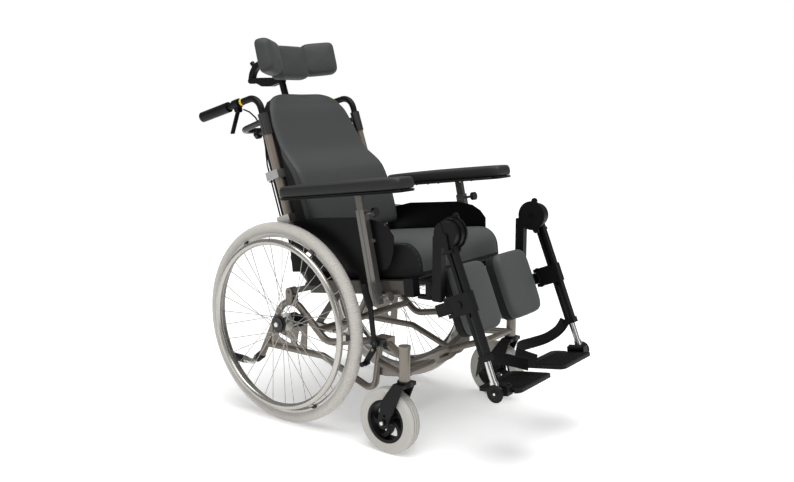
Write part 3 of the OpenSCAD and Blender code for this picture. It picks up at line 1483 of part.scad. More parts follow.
base_side("right");  // base_side_right
base_side("left");  // base_side_left
base_cross();
axle_blocks();
tip_bars();
brake_lever("right");  // brake_lever_right
brake_lever("left");  // brake_lever_left
brake_shoe("right");  // brake_shoe_right
brake_shoe("left");  // brake_shoe_left
rear_tyre("right");  // rear_tyre_right
rear_tyre("left");  // rear_tyre_left
rear_wheel("right");  // rear_wheel_right
rear_wheel("left");  // rear_wheel_left
handrim("right");  // handrim_right
handrim("left");  // handrim_left
caster_fork("right");  // caster_fork_right
caster_fork("left");  // caster_fork_left
caster_tyre("right");  // caster_tyre_right
caster_tyre("left");  // caster_tyre_left
caster_hub("right");  // caster_hub_right
caster_hub("left");  // caster_hub_left
seat_frame();
seat_cushion();
side_guards();
hanger_brackets();
armrest_sockets();
armrest_post("right");  // armrest_post_right
armrest_post("left");  // armrest_post_left
armrest_pad("right");  // armrest_pad_right
armrest_pad("left");  // armrest_pad_left
back_frame();
back_shell();
back_cushion();
push_handles();
handle_lever("right");  // handle_lever_right
handle_lever("left");  // handle_lever_left
headrest_post();
headrest_arm();
headrest_pad();
tilt_cylinder();
tilt_rod();
recline_cylinder();
recline_rod();
leg_hanger("right");  // leg_hanger_right
leg_hanger("left");  // leg_hanger_left
leg_release("right");  // leg_release_right
leg_release("left");  // leg_release_left
leg_upper("right");  // leg_upper_right
leg_upper("left");  // leg_upper_left
leg_lower("right");  // leg_lower_right
leg_lower("left");  // leg_lower_left
foot_bracket("right");  // foot_bracket_right
foot_bracket("left");  // foot_bracket_left
footplate("right");  // footplate_right
footplate("left");  // footplate_left
calf_bracket("right");  // calf_bracket_right
calf_bracket("left");  // calf_bracket_left
calf_pad("right");  // calf_pad_right
calf_pad("left");  // calf_pad_left
control_cables();
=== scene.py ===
# %% [markdown]
# This notebook dresses a comfort wheelchair with a tilting seat, a reclining back and raising legrests. The
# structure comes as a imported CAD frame. Blender adds what the CAD leaves plain: the padded pieces, the heel
# straps, the small fasteners and every finish. All of it stands in the frame's own metres.

# %% Load the frame
import bpy, bmesh, math
from mathutils import Matrix, Vector, noise


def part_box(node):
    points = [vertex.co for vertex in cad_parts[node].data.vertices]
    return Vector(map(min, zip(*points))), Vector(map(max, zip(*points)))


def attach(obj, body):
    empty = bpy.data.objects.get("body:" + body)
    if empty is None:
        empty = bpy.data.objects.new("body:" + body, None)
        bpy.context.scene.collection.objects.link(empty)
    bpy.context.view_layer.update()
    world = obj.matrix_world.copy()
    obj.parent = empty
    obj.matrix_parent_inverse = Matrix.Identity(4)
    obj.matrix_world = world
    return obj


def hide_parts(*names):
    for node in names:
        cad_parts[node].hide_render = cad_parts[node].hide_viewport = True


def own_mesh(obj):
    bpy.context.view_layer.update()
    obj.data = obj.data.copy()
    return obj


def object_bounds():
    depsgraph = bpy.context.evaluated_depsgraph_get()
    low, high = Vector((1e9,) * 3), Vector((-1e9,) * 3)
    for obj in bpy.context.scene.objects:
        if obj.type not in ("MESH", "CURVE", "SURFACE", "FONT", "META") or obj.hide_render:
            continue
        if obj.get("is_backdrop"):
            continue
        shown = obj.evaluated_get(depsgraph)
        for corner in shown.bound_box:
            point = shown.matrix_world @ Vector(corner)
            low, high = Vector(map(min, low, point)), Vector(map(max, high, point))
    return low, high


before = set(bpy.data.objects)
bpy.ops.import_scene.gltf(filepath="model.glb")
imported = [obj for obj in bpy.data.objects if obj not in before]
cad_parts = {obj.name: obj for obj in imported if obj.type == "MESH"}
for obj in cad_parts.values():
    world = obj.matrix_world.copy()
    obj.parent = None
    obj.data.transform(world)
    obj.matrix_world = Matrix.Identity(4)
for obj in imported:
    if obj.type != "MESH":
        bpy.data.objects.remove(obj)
cad_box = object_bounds()
low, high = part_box("rear_tyre_right")
axle_y = (low.y + high.y) / 2
wheel_r = (high.z - low.z) / 2
print("frame loaded:", len(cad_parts), "nodes, rear axle at y", round(axle_y, 4))

# %% [markdown]
# The camera stands where the photographer stood: in front of the chair and to its right, at about chest
# height. Its place was fitted to the wheels, the seat and the arm pads. It is made first, because the scene
# is judged through it.

# %% Camera
camera = bpy.data.objects.new("camera", bpy.data.cameras.new("camera"))
bpy.context.scene.collection.objects.link(camera)
camera.location = (-2.14327, axle_y - 1.81478, 0.96817)
camera.rotation_euler = (math.radians(80.86), 0, math.radians(-53.24))
camera.data.sensor_width = 36
camera.data.lens = 39.85
bpy.context.scene.camera = camera
print("camera at", [round(v, 2) for v in camera.location])

# %% [markdown]
# A product studio has a white floor that runs into a white wall, one broad soft light above and weaker ones
# at the sides. A pale world gives the wall and the fill, and its wall is white for the camera alone. A sun
# with a wide disc throws the soft shadow, and three area lights shape the tubes and cushions.

# %% Floor and light
def soft_light(name, place, target, size, power):
    lamp = bpy.data.objects.new(name, bpy.data.lights.new(name, "AREA"))
    bpy.context.scene.collection.objects.link(lamp)
    lamp.data.size = size
    lamp.data.energy = power
    lamp.location = place
    lamp.rotation_euler = (Vector(target) - Vector(place)).to_track_quat("-Z", "Y").to_euler()


def tone(r, g, b):
    def linear(c):
        return c / 255 / 12.92 if c <= 10 else ((c / 255 + 0.055) / 1.055) ** 2.4

    return (linear(r), linear(g), linear(b), 1.0)


bpy.context.scene.view_settings.view_transform = "Standard"
world = bpy.data.worlds.new("studio")
bpy.context.scene.world = world
world.use_nodes = True
world.node_tree.nodes["Background"].inputs["Color"].default_value = (1, 1, 1, 1)
wall = world.node_tree.nodes["Background"]
path = world.node_tree.nodes.new("ShaderNodeLightPath")
glow = world.node_tree.nodes.new("ShaderNodeMix")
glow.inputs[2].default_value = 0.3
glow.inputs[3].default_value = 1.0
world.node_tree.links.new(path.outputs["Is Camera Ray"], glow.inputs["Factor"])
world.node_tree.links.new(glow.outputs[0], wall.inputs["Strength"])
sun = bpy.data.objects.new("broad_light", bpy.data.lights.new("broad_light", "SUN"))
bpy.context.scene.collection.objects.link(sun)
sun.data.energy = 2.1
sun.data.angle = math.radians(60)
sun.rotation_euler = (math.radians(14), math.radians(-10), 0)
soft_light("top_light", (-0.4, -0.3, 3.0), (0, 0, 0.4), 2.2, 34)
soft_light("side_light", (-3.0, 0.2, 1.6), (0, 0, 0.6), 1.4, 9)
soft_light("front_light", (-0.6, -3.4, 1.5), (0, 0, 0.5), 1.2, 9)

floor_mesh = bmesh.new()
bmesh.ops.create_grid(floor_mesh, x_segments=4, y_segments=4, size=9)
floor_data = bpy.data.meshes.new("floor")
floor_mesh.to_mesh(floor_data)
floor_mesh.free()
floor = bpy.data.objects.new("floor", floor_data)
bpy.context.scene.collection.objects.link(floor)
paper = bpy.data.materials.new("studio_paper")
paper.use_nodes = True
paper.node_tree.nodes["Principled BSDF"].inputs["Base Color"].default_value = (0.9, 0.9, 0.9, 1)
paper.node_tree.nodes["Principled BSDF"].inputs["Roughness"].default_value = 0.9
paper.node_tree.nodes["Principled BSDF"].inputs["Emission Color"].default_value = (1, 1, 1, 1)
paper.node_tree.nodes["Principled BSDF"].inputs["Emission Strength"].default_value = 0.3
floor.data.materials.append(paper)
floor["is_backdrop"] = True
print("floor, a wide sun and three soft lights made")

# %% [markdown]
# The seat, the back, the legrests and the headrest each lean at their own angle. A piece is easiest to model
# upright, so each of them gets a matrix that carries it from its own axes to its place on the chair.

# %% Leaning axes
def leaning(y, z, rake):
    return Matrix.Translation((0, axle_y + y, z)) @ Matrix.Rotation(math.radians(-rake), 4, "X")


seat_axes = leaning(0.016, 0.390, 6.7)
back_axes = leaning(-0.008, 0.497, 18.3)
leg_axes = leaning(-0.561, 0.621, 21.8)
head_axes = leaning(0.227, 1.088, 14)
upright = Matrix.Identity(4)
print("seat, back, leg and headrest axes ready")

# %% [markdown]
# Every finish starts from one shader. A broad noise changes its colour a little, a fine one its roughness
# and bump, as dust, handling and moulding do. Where one CAD piece carries two finishes, such as a bright
# bar with a black grip, a zone in the piece's own axes paints the second one.

# %% Finish builder
def zone_mask(nodes, links, place, lo, hi, axes):
    turned = place
    if axes is not upright:
        back = axes.inverted()
        turn = nodes.new("ShaderNodeMapping")
        turn.vector_type = "POINT"
        turn.inputs["Location"].default_value = back.to_translation()
        turn.inputs["Rotation"].default_value = back.to_euler()
        links.new(place, turn.inputs["Vector"])
        turned = turn.outputs["Vector"]
    for kind, value in (("SUBTRACT", (Vector(lo) + Vector(hi)) / 2), ("ABSOLUTE", None),
                        ("SUBTRACT", (Vector(hi) - Vector(lo)) / 2)):
        step = nodes.new("ShaderNodeVectorMath")
        step.operation = kind
        links.new(turned, step.inputs[0])
        if value is not None:
            step.inputs[1].default_value = value
        turned = step.outputs["Vector"]
    parts = nodes.new("ShaderNodeSeparateXYZ")
    links.new(turned, parts.inputs[0])
    top = parts.outputs[0]
    for k in (1, 2):
        more = nodes.new("ShaderNodeMath")
        more.operation = "MAXIMUM"
        links.new(top, more.inputs[0])
        links.new(parts.outputs[k], more.inputs[1])
        top = more.outputs[0]
    inside = nodes.new("ShaderNodeMath")
    inside.operation = "LESS_THAN"
    inside.inputs[1].default_value = 0.0
    links.new(top, inside.inputs[0])
    return inside.outputs[0]


def blend_colour(nodes, links, factor, first, second):
    mix = nodes.new("ShaderNodeMix")
    mix.data_type = "RGBA"
    links.new(factor, mix.inputs["Factor"])
    for socket, value in ((mix.inputs[6], first), (mix.inputs[7], second)):
        if isinstance(value, tuple):
            socket.default_value = value
        else:
            links.new(value, socket)
    return mix.outputs[2]


def blend_value(nodes, links, factor, first, second):
    mix = nodes.new("ShaderNodeMix")
    mix.data_type = "FLOAT"
    links.new(factor, mix.inputs["Factor"])
    for socket, value in ((mix.inputs[2], first), (mix.inputs[3], second)):
        if isinstance(value, (int, float)):
            socket.default_value = value
        else:
            links.new(value, socket)
    return mix.outputs[0]


def finish(name, colour, rough, metal=0.0, wear=0.12, grain=900, bump=0.03, sheen=0.0, coat=0.0, zones=(),
           weave=0, rings=None, shine=0.3):
    m = bpy.data.materials.new(name)
    m.use_nodes = True
    nodes, links = m.node_tree.nodes, m.node_tree.links
    shader = nodes["Principled BSDF"]
    place = nodes.new("ShaderNodeTexCoord").outputs["Object"]

    def noise_of(scale, detail):
        n = nodes.new("ShaderNodeTexNoise")
        n.inputs["Scale"].default_value = scale
        n.inputs["Detail"].default_value = detail
        links.new(place, n.inputs["Vector"])
        return n.outputs["Fac"]

    broad, fine = noise_of(9, 4), noise_of(grain, 2)
    dark = tuple(c * (1 - wear) for c in colour[:3]) + (1.0,)
    light = tuple(min(1, c * (1 + wear)) for c in colour[:3]) + (1.0,)
    paint = blend_colour(nodes, links, broad, dark, light)
    gloss = blend_value(nodes, links, fine, max(0.02, rough - 0.07), min(1, rough + 0.07))
    metallic = None
    for lo, hi, zone_colour, zone_rough, zone_metal, axes in zones:
        mask = zone_mask(nodes, links, place, lo, hi, axes)
        paint = blend_colour(nodes, links, mask, paint, zone_colour)
        gloss = blend_value(nodes, links, mask, gloss, zone_rough)
        metallic = blend_value(nodes, links, mask, metal if metallic is None else metallic, zone_metal)
    relief = fine
    if weave:
        threads = []
        for axis in ("X", "Z"):
            w = nodes.new("ShaderNodeTexWave")
            w.bands_direction = axis
            w.inputs["Scale"].default_value = weave
            w.inputs["Distortion"].default_value = 0.6
            links.new(place, w.inputs["Vector"])
            threads.append(w.outputs["Fac"])
        cross = nodes.new("ShaderNodeMath")
        cross.operation = "MULTIPLY"
        links.new(threads[0], cross.inputs[0])
        links.new(threads[1], cross.inputs[1])
        relief = blend_value(nodes, links, fine, cross.outputs[0], fine)
    if rings:
        centre_y, centre_z, count = rings
        parts = nodes.new("ShaderNodeSeparateXYZ")
        links.new(place, parts.inputs[0])
        legs = []
        for k, offset in ((1, centre_y), (2, centre_z)):
            leg = nodes.new("ShaderNodeMath")
            leg.operation = "SUBTRACT"
            leg.inputs[1].default_value = offset
            links.new(parts.outputs[k], leg.inputs[0])
            legs.append(leg.outputs[0])
        angle = nodes.new("ShaderNodeMath")
        angle.operation = "ARCTAN2"
        links.new(legs[0], angle.inputs[0])
        links.new(legs[1], angle.inputs[1])
        many = nodes.new("ShaderNodeMath")
        many.operation = "MULTIPLY"
        many.inputs[1].default_value = count
        links.new(angle.outputs[0], many.inputs[0])
        wave = nodes.new("ShaderNodeMath")
        wave.operation = "SINE"
        links.new(many.outputs[0], wave.inputs[0])
        relief = wave.outputs[0]
    height = nodes.new("ShaderNodeBump")
    height.inputs["Strength"].default_value = bump
    height.inputs["Distance"].default_value = 0.001
    links.new(relief, height.inputs["Height"])
    links.new(height.outputs["Normal"], shader.inputs["Normal"])
    links.new(paint, shader.inputs["Base Color"])
    links.new(gloss, shader.inputs["Roughness"])
    if metallic is None:
        shader.inputs["Metallic"].default_value = metal
    else:
        links.new(metallic, shader.inputs["Metallic"])
    shader.inputs["Specular IOR Level"].default_value = 0.5 if metal > 0.4 else shine
    shader.inputs["Sheen Weight"].default_value = sheen
    shader.inputs["Coat Weight"].default_value = coat
    return m


print("finish builder ready")

# %% [markdown]
# The tubes are painted a warm champagne grey. The seat frame under the cushion gets a much darker copy of
# that paint, as painted shade. Levers, forks and brackets are black powder paint, guards and hubs black
# moulded plastic. The tyres are pale grey so that they leave no marks on a clinic floor. The covers are a
# matt grey coated cloth, with black cloth on the sides. The arm pads' skin is darker, with a still darker
# copy on their sides as painted shade, and the clips of the hand rims are black.

# %% Finishes
black = tone(17, 17, 17)
steel = tone(176, 175, 172)
# A darker copy of the champagne paint: painted shade for the seat frame, which sits in the cushion's shadow.
seat_frame_shade_paint = finish("seat_frame_painted_shade", tone(66, 62, 57), 0.36, metal=0.4, coat=0.2, grain=1500)
sleeves = ((-0.4, -0.3, 0.3848), (0.4, 0.3, 0.9), black, 0.45, 0.0, back_axes)
cane_x = 0.220
clamp_wide, clamp_tall = 0.0168, 0.0132
clamps = [((s * cane_x - clamp_wide, -0.0157, z - clamp_tall),
           (s * cane_x + clamp_wide, 0.0357, z + clamp_tall), steel, 0.3, 0.9, back_axes)
          for s in (-1, 1) for z in (0.121, 0.261)]
cane_paint = finish("cane_paint", tone(122, 113, 102), 0.32, metal=0.5, coat=0.3, grain=1500,
                    zones=[sleeves] + clamps)
brake_x = 0.287
brake_zones = [((s * brake_x - 0.024, axle_y - 0.38, 0.286), (s * brake_x + 0.0245, axle_y - 0.322, 0.33),
                black, 0.5, 0.0, upright) for s in (-1, 1)]
base_paint = finish("base_paint", tone(122, 115, 106), 0.36, metal=0.5, coat=0.2, grain=1500,
                    zones=brake_zones)
black_paint = finish("black_powder_paint", tone(13, 13, 14), 0.42, grain=1800, bump=0.04, wear=0.2,
                     shine=0.16)
black_plastic = finish("black_moulding", tone(13, 13, 14), 0.5, grain=2200, bump=0.05, wear=0.2, shine=0.18)
guard_plastic = finish("guard_moulding", tone(8, 8, 9), 0.34, grain=2600, bump=0.04, wear=0.15, shine=0.14)
chrome = finish("polished_steel", tone(196, 195, 192), 0.16, metal=1.0, bump=0.01,
                zones=[((-0.4, -0.3, -0.345), (0.4, 0.3, 0.4), black, 0.5, 0.0, leg_axes)])
brushed = finish("brushed_alloy", tone(168, 166, 162), 0.3, metal=0.95, grain=1600, bump=0.02)
cap_x, cap_half, cap_r = 0.307, 0.0075, 0.03
hub_dark = [((s * cap_x - cap_half, axle_y - cap_r, wheel_r - cap_r),
             (s * cap_x + cap_half, axle_y + cap_r, wheel_r + cap_r), black, 0.4, 0.0, upright)
            for s in (-1, 1)]
wheel_alloy = finish("wheel_alloy", tone(176, 174, 170), 0.28, metal=0.9, zones=hub_dark)
clip_zone = ((-0.3085, axle_y - 0.3, 0.0), (0.3085, axle_y + 0.3, 0.7), black, 0.5, 0.0, upright)
hand_alloy = finish("hand_rim_alloy", tone(176, 174, 168), 0.26, metal=0.9, grain=1400, zones=[clip_zone])
tyre = finish("pale_grey_tyre", tone(186, 183, 177), 0.62, grain=800, bump=0.5, wear=0.04,
              rings=(axle_y, wheel_r, 220))
caster_tyre = finish("caster_tyre", tone(178, 176, 170), 0.6, grain=700, bump=0.08, wear=0.05)
post_dark = finish("post_alloy", tone(98, 96, 92), 0.36, metal=0.7,
                   zones=[((-0.4, -0.6, 0.2815), (0.4, 0.2, 0.4), black, 0.5, 0.0, seat_axes)])
socket_dark = finish("socket_alloy", tone(112, 110, 106), 0.36, metal=0.7,
                     zones=[((-0.4, -0.46, 0.19), (0.4, -0.362, 0.3), black, 0.45, 0.0, seat_axes)])
tip_steel = finish("tip_bar_steel", tone(196, 195, 192), 0.2, metal=1.0,
                   zones=[((-0.3, 0.2, 0.1), (0.3, axle_y + 0.1675, 0.25), black, 0.6, 0.0, upright),
                          ((-0.3, axle_y + 0.225, 0.1), (0.3, axle_y + 0.4, 0.25), black, 0.6, 0.0, upright)])
grey_cloth = finish("grey_coated_cloth", tone(64, 67, 66), 0.6, sheen=0.06, grain=640, bump=0.06, wear=0.07,
                    weave=900)
back_cloth = finish("back_coated_cloth", tone(55, 57, 56), 0.6, sheen=0.05, grain=640, bump=0.06, wear=0.07,
                    weave=900)
arm_skin = finish("arm_pad_skin", tone(46, 47, 45), 0.5, grain=900, bump=0.05, wear=0.08)
# A darker copy of the arm pad skin: painted shade for the pad sides, which the light from above leaves dim.
arm_pad_painted_shade = finish("arm_pad_side_painted_shade", tone(30, 31, 30), 0.55, grain=900, bump=0.05, wear=0.08)
black_cloth = finish("black_side_cloth", tone(21, 21, 21), 0.75, sheen=0.04, grain=600, bump=0.08, weave=900,
                     shine=0.2)
strap_web = finish("strap_webbing", tone(21, 21, 22), 0.8, grain=900, bump=0.3, weave=420, shine=0.2)
yellow = finish("warning_yellow_band", tone(222, 190, 40), 0.5)
bright_screw = finish("zinc_screw", tone(200, 199, 195), 0.25, metal=1.0)
print("finishes made:", len(bpy.data.materials))

# %% [markdown]
# A CAD piece keeps its shape, and only gets a finish in its material slot. The list says which pieces share
# one, as they share a paint line or a mould in the factory.

# %% Put the finishes on the CAD pieces
dress = {
    seat_frame_shade_paint: ["seat_frame"], base_paint: ["base_side_right", "base_side_left", "base_cross"],
    cane_paint: ["back_frame"], guard_plastic: ["side_guards"],
    black_paint: ["headrest_post", "headrest_arm", "hanger_brackets", "push_handles", "recline_cylinder",
                  "brake_shoe_right", "brake_shoe_left", "caster_fork_right", "caster_fork_left",
                  "handle_lever_right", "handle_lever_left", "leg_hanger_right", "leg_hanger_left",
                  "leg_upper_right", "leg_upper_left", "foot_bracket_right", "foot_bracket_left",
                  "calf_bracket_right", "calf_bracket_left", "leg_release_right", "leg_release_left"],
    black_plastic: ["axle_blocks", "back_shell", "control_cables", "brake_lever_right", "brake_lever_left",
                    "caster_hub_right", "caster_hub_left", "footplate_right", "footplate_left"],
    chrome: ["leg_lower_right", "leg_lower_left"], tip_steel: ["tip_bars"],
    brushed: ["tilt_cylinder", "tilt_rod", "recline_rod"], socket_dark: ["armrest_sockets"],
    wheel_alloy: ["rear_wheel_right", "rear_wheel_left"], hand_alloy: ["handrim_right", "handrim_left"],
    tyre: ["rear_tyre_right", "rear_tyre_left"], caster_tyre: ["caster_tyre_right", "caster_tyre_left"],
    post_dark: ["armrest_post_right", "armrest_post_left"],
}
for paint, names in dress.items():
    for name in names:
        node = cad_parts[name]
        node.data.materials.clear()
        node.data.materials.append(paint)
print("CAD pieces dressed:", sum(len(n) for n in dress.values()))

# %% [markdown]
# Most soft pieces here are a closed outline that changes along one direction. A loft makes them: the first
# outline becomes a face, and each next one is that face extruded and moved to its new place.

# %% Loft and piece helpers
def loft(bm, rings):
    face = bm.faces.new([bm.verts.new(p) for p in rings[0]])
    for before, after in zip(rings, rings[1:]):
        made = bmesh.ops.extrude_face_region(bm, geom=[face] + list(face.edges))["geom"]
        face = [g for g in made if isinstance(g, bmesh.types.BMFace)][0]
        fresh = [g for g in made if isinstance(g, bmesh.types.BMVert)]
        order = {}
        for v in fresh:
            order[min(range(len(before)), key=lambda i: (Vector(before[i]) - v.co).length_squared)] = v
        for k, v in order.items():
            v.co = Vector(after[k])


def piece(name, bm, axes, body, paints, smooth=True, replace=(), levels=0):
    bmesh.ops.recalc_face_normals(bm, faces=bm.faces)
    bm.transform(axes)
    data = bpy.data.meshes.new(name)
    bm.to_mesh(data)
    bm.free()
    for paint in paints:
        data.materials.append(paint)
    for polygon in data.polygons:
        polygon.use_smooth = smooth
    obj = bpy.data.objects.new(name, data)
    bpy.context.scene.collection.objects.link(obj)
    if levels:
        curve = obj.modifiers.new("round", "SUBSURF")
        curve.levels = levels
        curve.render_levels = levels
    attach(obj, body)
    if replace:
        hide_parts(*replace)
    return obj


def rounded_outline(w, d, n, count=48):
    points = []
    for i in range(count):
        a = 2 * math.pi * i / count
        c, s = math.cos(a), math.sin(a)
        points.append((w / 2 * math.copysign(abs(c) ** (2 / n), c),
                       d / 2 * math.copysign(abs(s) ** (2 / n), s)))
    return points


def pad_rings(w, d, n, h, edge, crown, pull=(1, 1)):
    sides = [(0, 0.62), (0.02, 0.40), (0.08, 0.18), (0.2, 0.04), (0.38, 0.0), (0.56, 0.02), (0.72, 0.12),
             (0.85, 0.32), (0.94, 0.56), (0.99, 0.82)]
    outline = rounded_outline(w, d, n)
    rings = []
    for z, inset in sides:
        rings.append([(x * (1 - 2 * edge * inset * pull[x > 0] / w), y * (1 - 2 * edge * inset / d), h * z)
                      for x, y in outline])
    for c in (0.88, 0.74, 0.58, 0.42, 0.26, 0.12):
        rings.append([(x * c * (1 - 1.7 * edge * pull[x > 0] / w), y * c * (1 - 1.7 * edge / d),
                       h + crown * (1 - c * c)) for x, y in outline])
    return rings


print("loft helper ready")

# %% [markdown]
# The seat cushion is a block of foam whose grey top turns down over the front in one big round, so that it
# doesn't press on the thighs. Its sides are black cloth. It is lofted across the chair from its side profile,
# and the profile shrinks at both ends, where the foam is pulled round.

# %% Seat cushion
def corner(cy, cz, r, start, steps=7):
    return [(cy + r * math.cos(math.radians(start + 90 * k / (steps - 1))),
             cz + r * math.sin(math.radians(start + 90 * k / (steps - 1)))) for k in range(steps)]


def seat_profile(rear, front, bottom, top):
    top_r, thigh_r, toe_r, heel_r = 0.022, 0.058, 0.014, 0.012
    return (corner(rear - top_r, top - top_r, top_r, 0) + corner(front + thigh_r, top - thigh_r, thigh_r, 90)
            + corner(front + toe_r, bottom + toe_r, toe_r, 180)
            + corner(rear - heel_r, bottom + heel_r, heel_r, 270))


cushion = bmesh.new()
rings = []
half = 0.215
seat_rear, seat_front, seat_bottom, seat_top = -0.045, -0.480, 0.0365, 0.1385
middle, half_long = -0.2625, 0.2175
for x, inset in ((-half + 0.001, 0.014), (-half, 0.008), (-half + 0.002, 0.004), (-half + 0.008, 0.0),
                 (-0.16, 0.0), (-0.1, 0.0), (-0.04, 0.0), (0.04, 0.0), (0.1, 0.0), (0.16, 0.0),
                 (half - 0.008, 0.0), (half - 0.002, 0.004), (half, 0.008), (half - 0.001, 0.014)):
    crown = 0.009 * (1 - (x / half) ** 2)
    ring = seat_profile(seat_rear - inset, seat_front + inset, seat_bottom + inset, seat_top - inset)
    rings.append([(x, y, z + (crown * max(0, 1 - ((y - middle) / half_long) ** 2) if z > 0.08 else 0))
                  for y, z in ring])
loft(cushion, rings)
for face in cushion.faces:
    centre = face.calc_center_median()
    face.material_index = 1 if abs(centre.x) > half - 0.0055 or centre.z < 0.05 else 0
seat = piece("seat_cushion_cover", cushion, seat_axes, "seat", [grey_cloth, black_cloth],
             replace=["seat_cushion"], levels=1)
print("seat cushion:", len(seat.data.polygons), "faces")

# %% [markdown]
# The back cushion hugs the hips, narrows at the waist and thins towards the shoulders. Its rows are the same
# as the CAD solid's: height up the canes, half width, depth of the face and depth of the rear. More rows are
# filled in between them on a smooth curve.

# %% Back cushion
rows = [(50, 199, -72, -22), (66, 208, -81, -20), (120, 212, -84, -14), (180, 212.5, -83, -10),
        (236, 212, -76, -4), (262, 211, -66, 2), (284, 208, -53, 8), (306, 203, -39, 15), (328, 200, -28, 22),
        (362, 197, -18, 28), (413, 192, -8, 34), (462, 179, -1, 36), (484, 166, 5, 35), (500, 153, 9, 33),
        (514, 128, 14, 31), (522, 96, 19, 28)]


def between(table, parts):
    out = []
    for i in range(len(table) - 1):
        p = [Vector(table[max(0, min(len(table) - 1, i + k))]) for k in (-1, 0, 1, 2)]
        for j in range(parts):
            t = j / parts
            out.append(p[1] + (p[2] - p[0]) * t / 2 + (2 * p[0] - 5 * p[1] + 4 * p[2] - p[3]) * t * t / 2
                       + (3 * p[1] - p[0] - 3 * p[2] + p[3]) * t ** 3 / 2)
    return out + [Vector(table[-1])]


shell_half, shell_wall = 0.199, 0.0046


def back_ring(row):
    up, wide, face, rear = (v / 1000 for v in row)
    wall = max(-0.014, face + 0.010) - 0.0005
    shell = min(wide, shell_half)
    inner = shell - shell_wall
    edge = 0.020
    round_in = min(edge, wall - face - 0.0015)
    half_ring = [(0, rear), (inner * 0.5, rear), (inner * 0.97, rear), (inner, rear - 0.001), (inner, wall),
                 (shell, wall - 0.0003), (wide - 0.001, wall - 0.0006)]
    for k in range(5):
        a = math.radians(90 * k / 4)
        half_ring.append((wide - edge + edge * math.cos(a), face + round_in - round_in * math.sin(a)))
    half_ring += [(wide * 0.82, face + 0.0008), (wide * 0.6, face + 0.004), (wide * 0.35, face + 0.0065),
                  (0, face + 0.008)]
    ring = half_ring + [(-x, y) for x, y in reversed(half_ring[1:-1])]
    return [(x, y, up) for x, y in ring]


back = bmesh.new()
dense = between(rows, 3)
loft(back, [back_ring(r) for r in dense])
bmesh.ops.recalc_face_normals(back, faces=back.faces)
for face in back.faces:
    over_top = face.calc_center_median().z > 0.485 and face.normal.y < 0.7
    face.material_index = 0 if face.normal.y < -0.12 or over_top else 1
back_piece = piece("back_cushion_cover", back, back_axes, "back", [back_cloth, black_cloth],
                   replace=["back_cushion"], levels=1)
print("back cushion:", len(back_piece.data.polygons), "faces")

# %% [markdown]
# A round seam runs along the edge between the grey face and the black sides, and catches the light. It is a
# thin tube on the route of that edge, and it wears the grey cloth of the face.

# %% Seams
def tube_rings(points, r, sides=8):
    rings = []
    across = None
    for i, p in enumerate(points):
        u = (Vector(points[min(len(points) - 1, i + 1)]) - Vector(points[max(0, i - 1)])).normalized()
        across = u.orthogonal().normalized() if across is None else (across - u * across.dot(u)).normalized()
        other = u.cross(across)
        angles = [2 * math.pi * k / sides for k in range(sides)]
        rings.append([tuple(Vector(p) + r * (across * math.cos(a) + other * math.sin(a))) for a in angles])
    return rings


def tube(name, points, r, axes, body, paint):
    bm = bmesh.new()
    loft(bm, tube_rings(points, r))
    return piece(name, bm, axes, body, [paint])


seam_box = (-0.050, -0.4755, 0.041, 0.1345)
back_seam_r, seat_seam_r = 0.0016, 0.0018
side = [(r[1] / 1000 - 0.004, r[2] / 1000 + 0.006, r[0] / 1000) for r in dense if r[0] < 505]
top_left = side[-1][0]
over = [(top_left * math.cos(a), side[-1][1] + 0.006 * math.sin(a), side[-1][2] + 0.012 * math.sin(a))
        for a in (math.pi * k / 16 for k in range(1, 16))]
seam = side + over + [(-x, y, z) for x, y, z in reversed(side)]
tube("back_seam", seam, back_seam_r, back_axes, "back", back_cloth)
for s in (-1, 1):
    route = [(s * 0.2095, y, z) for y, z in seat_profile(*seam_box)[:21]]
    tube("seat_seam_" + ("right" if s < 0 else "left"), route, seat_seam_r, seat_axes, "seat", grey_cloth)
print("seams laid")

# %% [markdown]
# The headrest has a middle pad and two wings turned forward round it. The wings' covers are gathered at
# their rear edge, so a small ripple is pressed into the cloth there.

# %% Headrest
head = bmesh.new()
turn_front = Matrix.Rotation(math.radians(90), 4, "X")


def add_pad(bm, w, d, n, h, edge, crown, axes, ripple=0.0, pull=(1, 1)):
    part = bmesh.new()
    loft(part, pad_rings(w, d, n, h, edge, crown, pull))
    if ripple:
        for v in part.verts:
            fold = noise.noise(Vector((v.co.x * 30, v.co.y * 90, v.co.z * 30)))
            v.co += Vector((v.co.x, v.co.y, 0)).normalized() * ripple * fold * (1 - v.co.z / (h + crown))
    part.transform(axes)
    data = bpy.data.meshes.new("part")
    part.to_mesh(data)
    part.free()
    bm.from_mesh(data)
    bpy.data.meshes.remove(data)


pad_thick, pad_crown = 0.047, 0.005
middle_place = Matrix.Translation((0, 0.026, 0)) @ turn_front
add_pad(head, 0.142, 0.110, 9, pad_thick, 0.013, pad_crown, middle_place, pull=(0.3, 0.3))
for s in (-1, 1):
    wing = (Matrix.Translation((s * 0.064, -0.026, 0.008)) @ Matrix.Rotation(math.radians(-s * 26.6), 4, "Z")
            @ Matrix.Translation((s * 0.048, pad_thick, 0)) @ turn_front)
    add_pad(head, 0.118, 0.109, 6, pad_thick, 0.014, pad_crown, wing, ripple=0.003,
            pull=(1, 0.25) if s < 0 else (0.25, 1))
head_piece = piece("headrest_cover", head, head_axes, "headrest_pad", [back_cloth], replace=["headrest_pad"],
                   levels=1)
print("headrest:", len(head_piece.data.polygons), "faces")

# %% [markdown]
# Two steel cheeks hold the pad on the pin of the curved arm. Each is a flat plate with a round end, so one
# outline lofted by its thickness makes it.

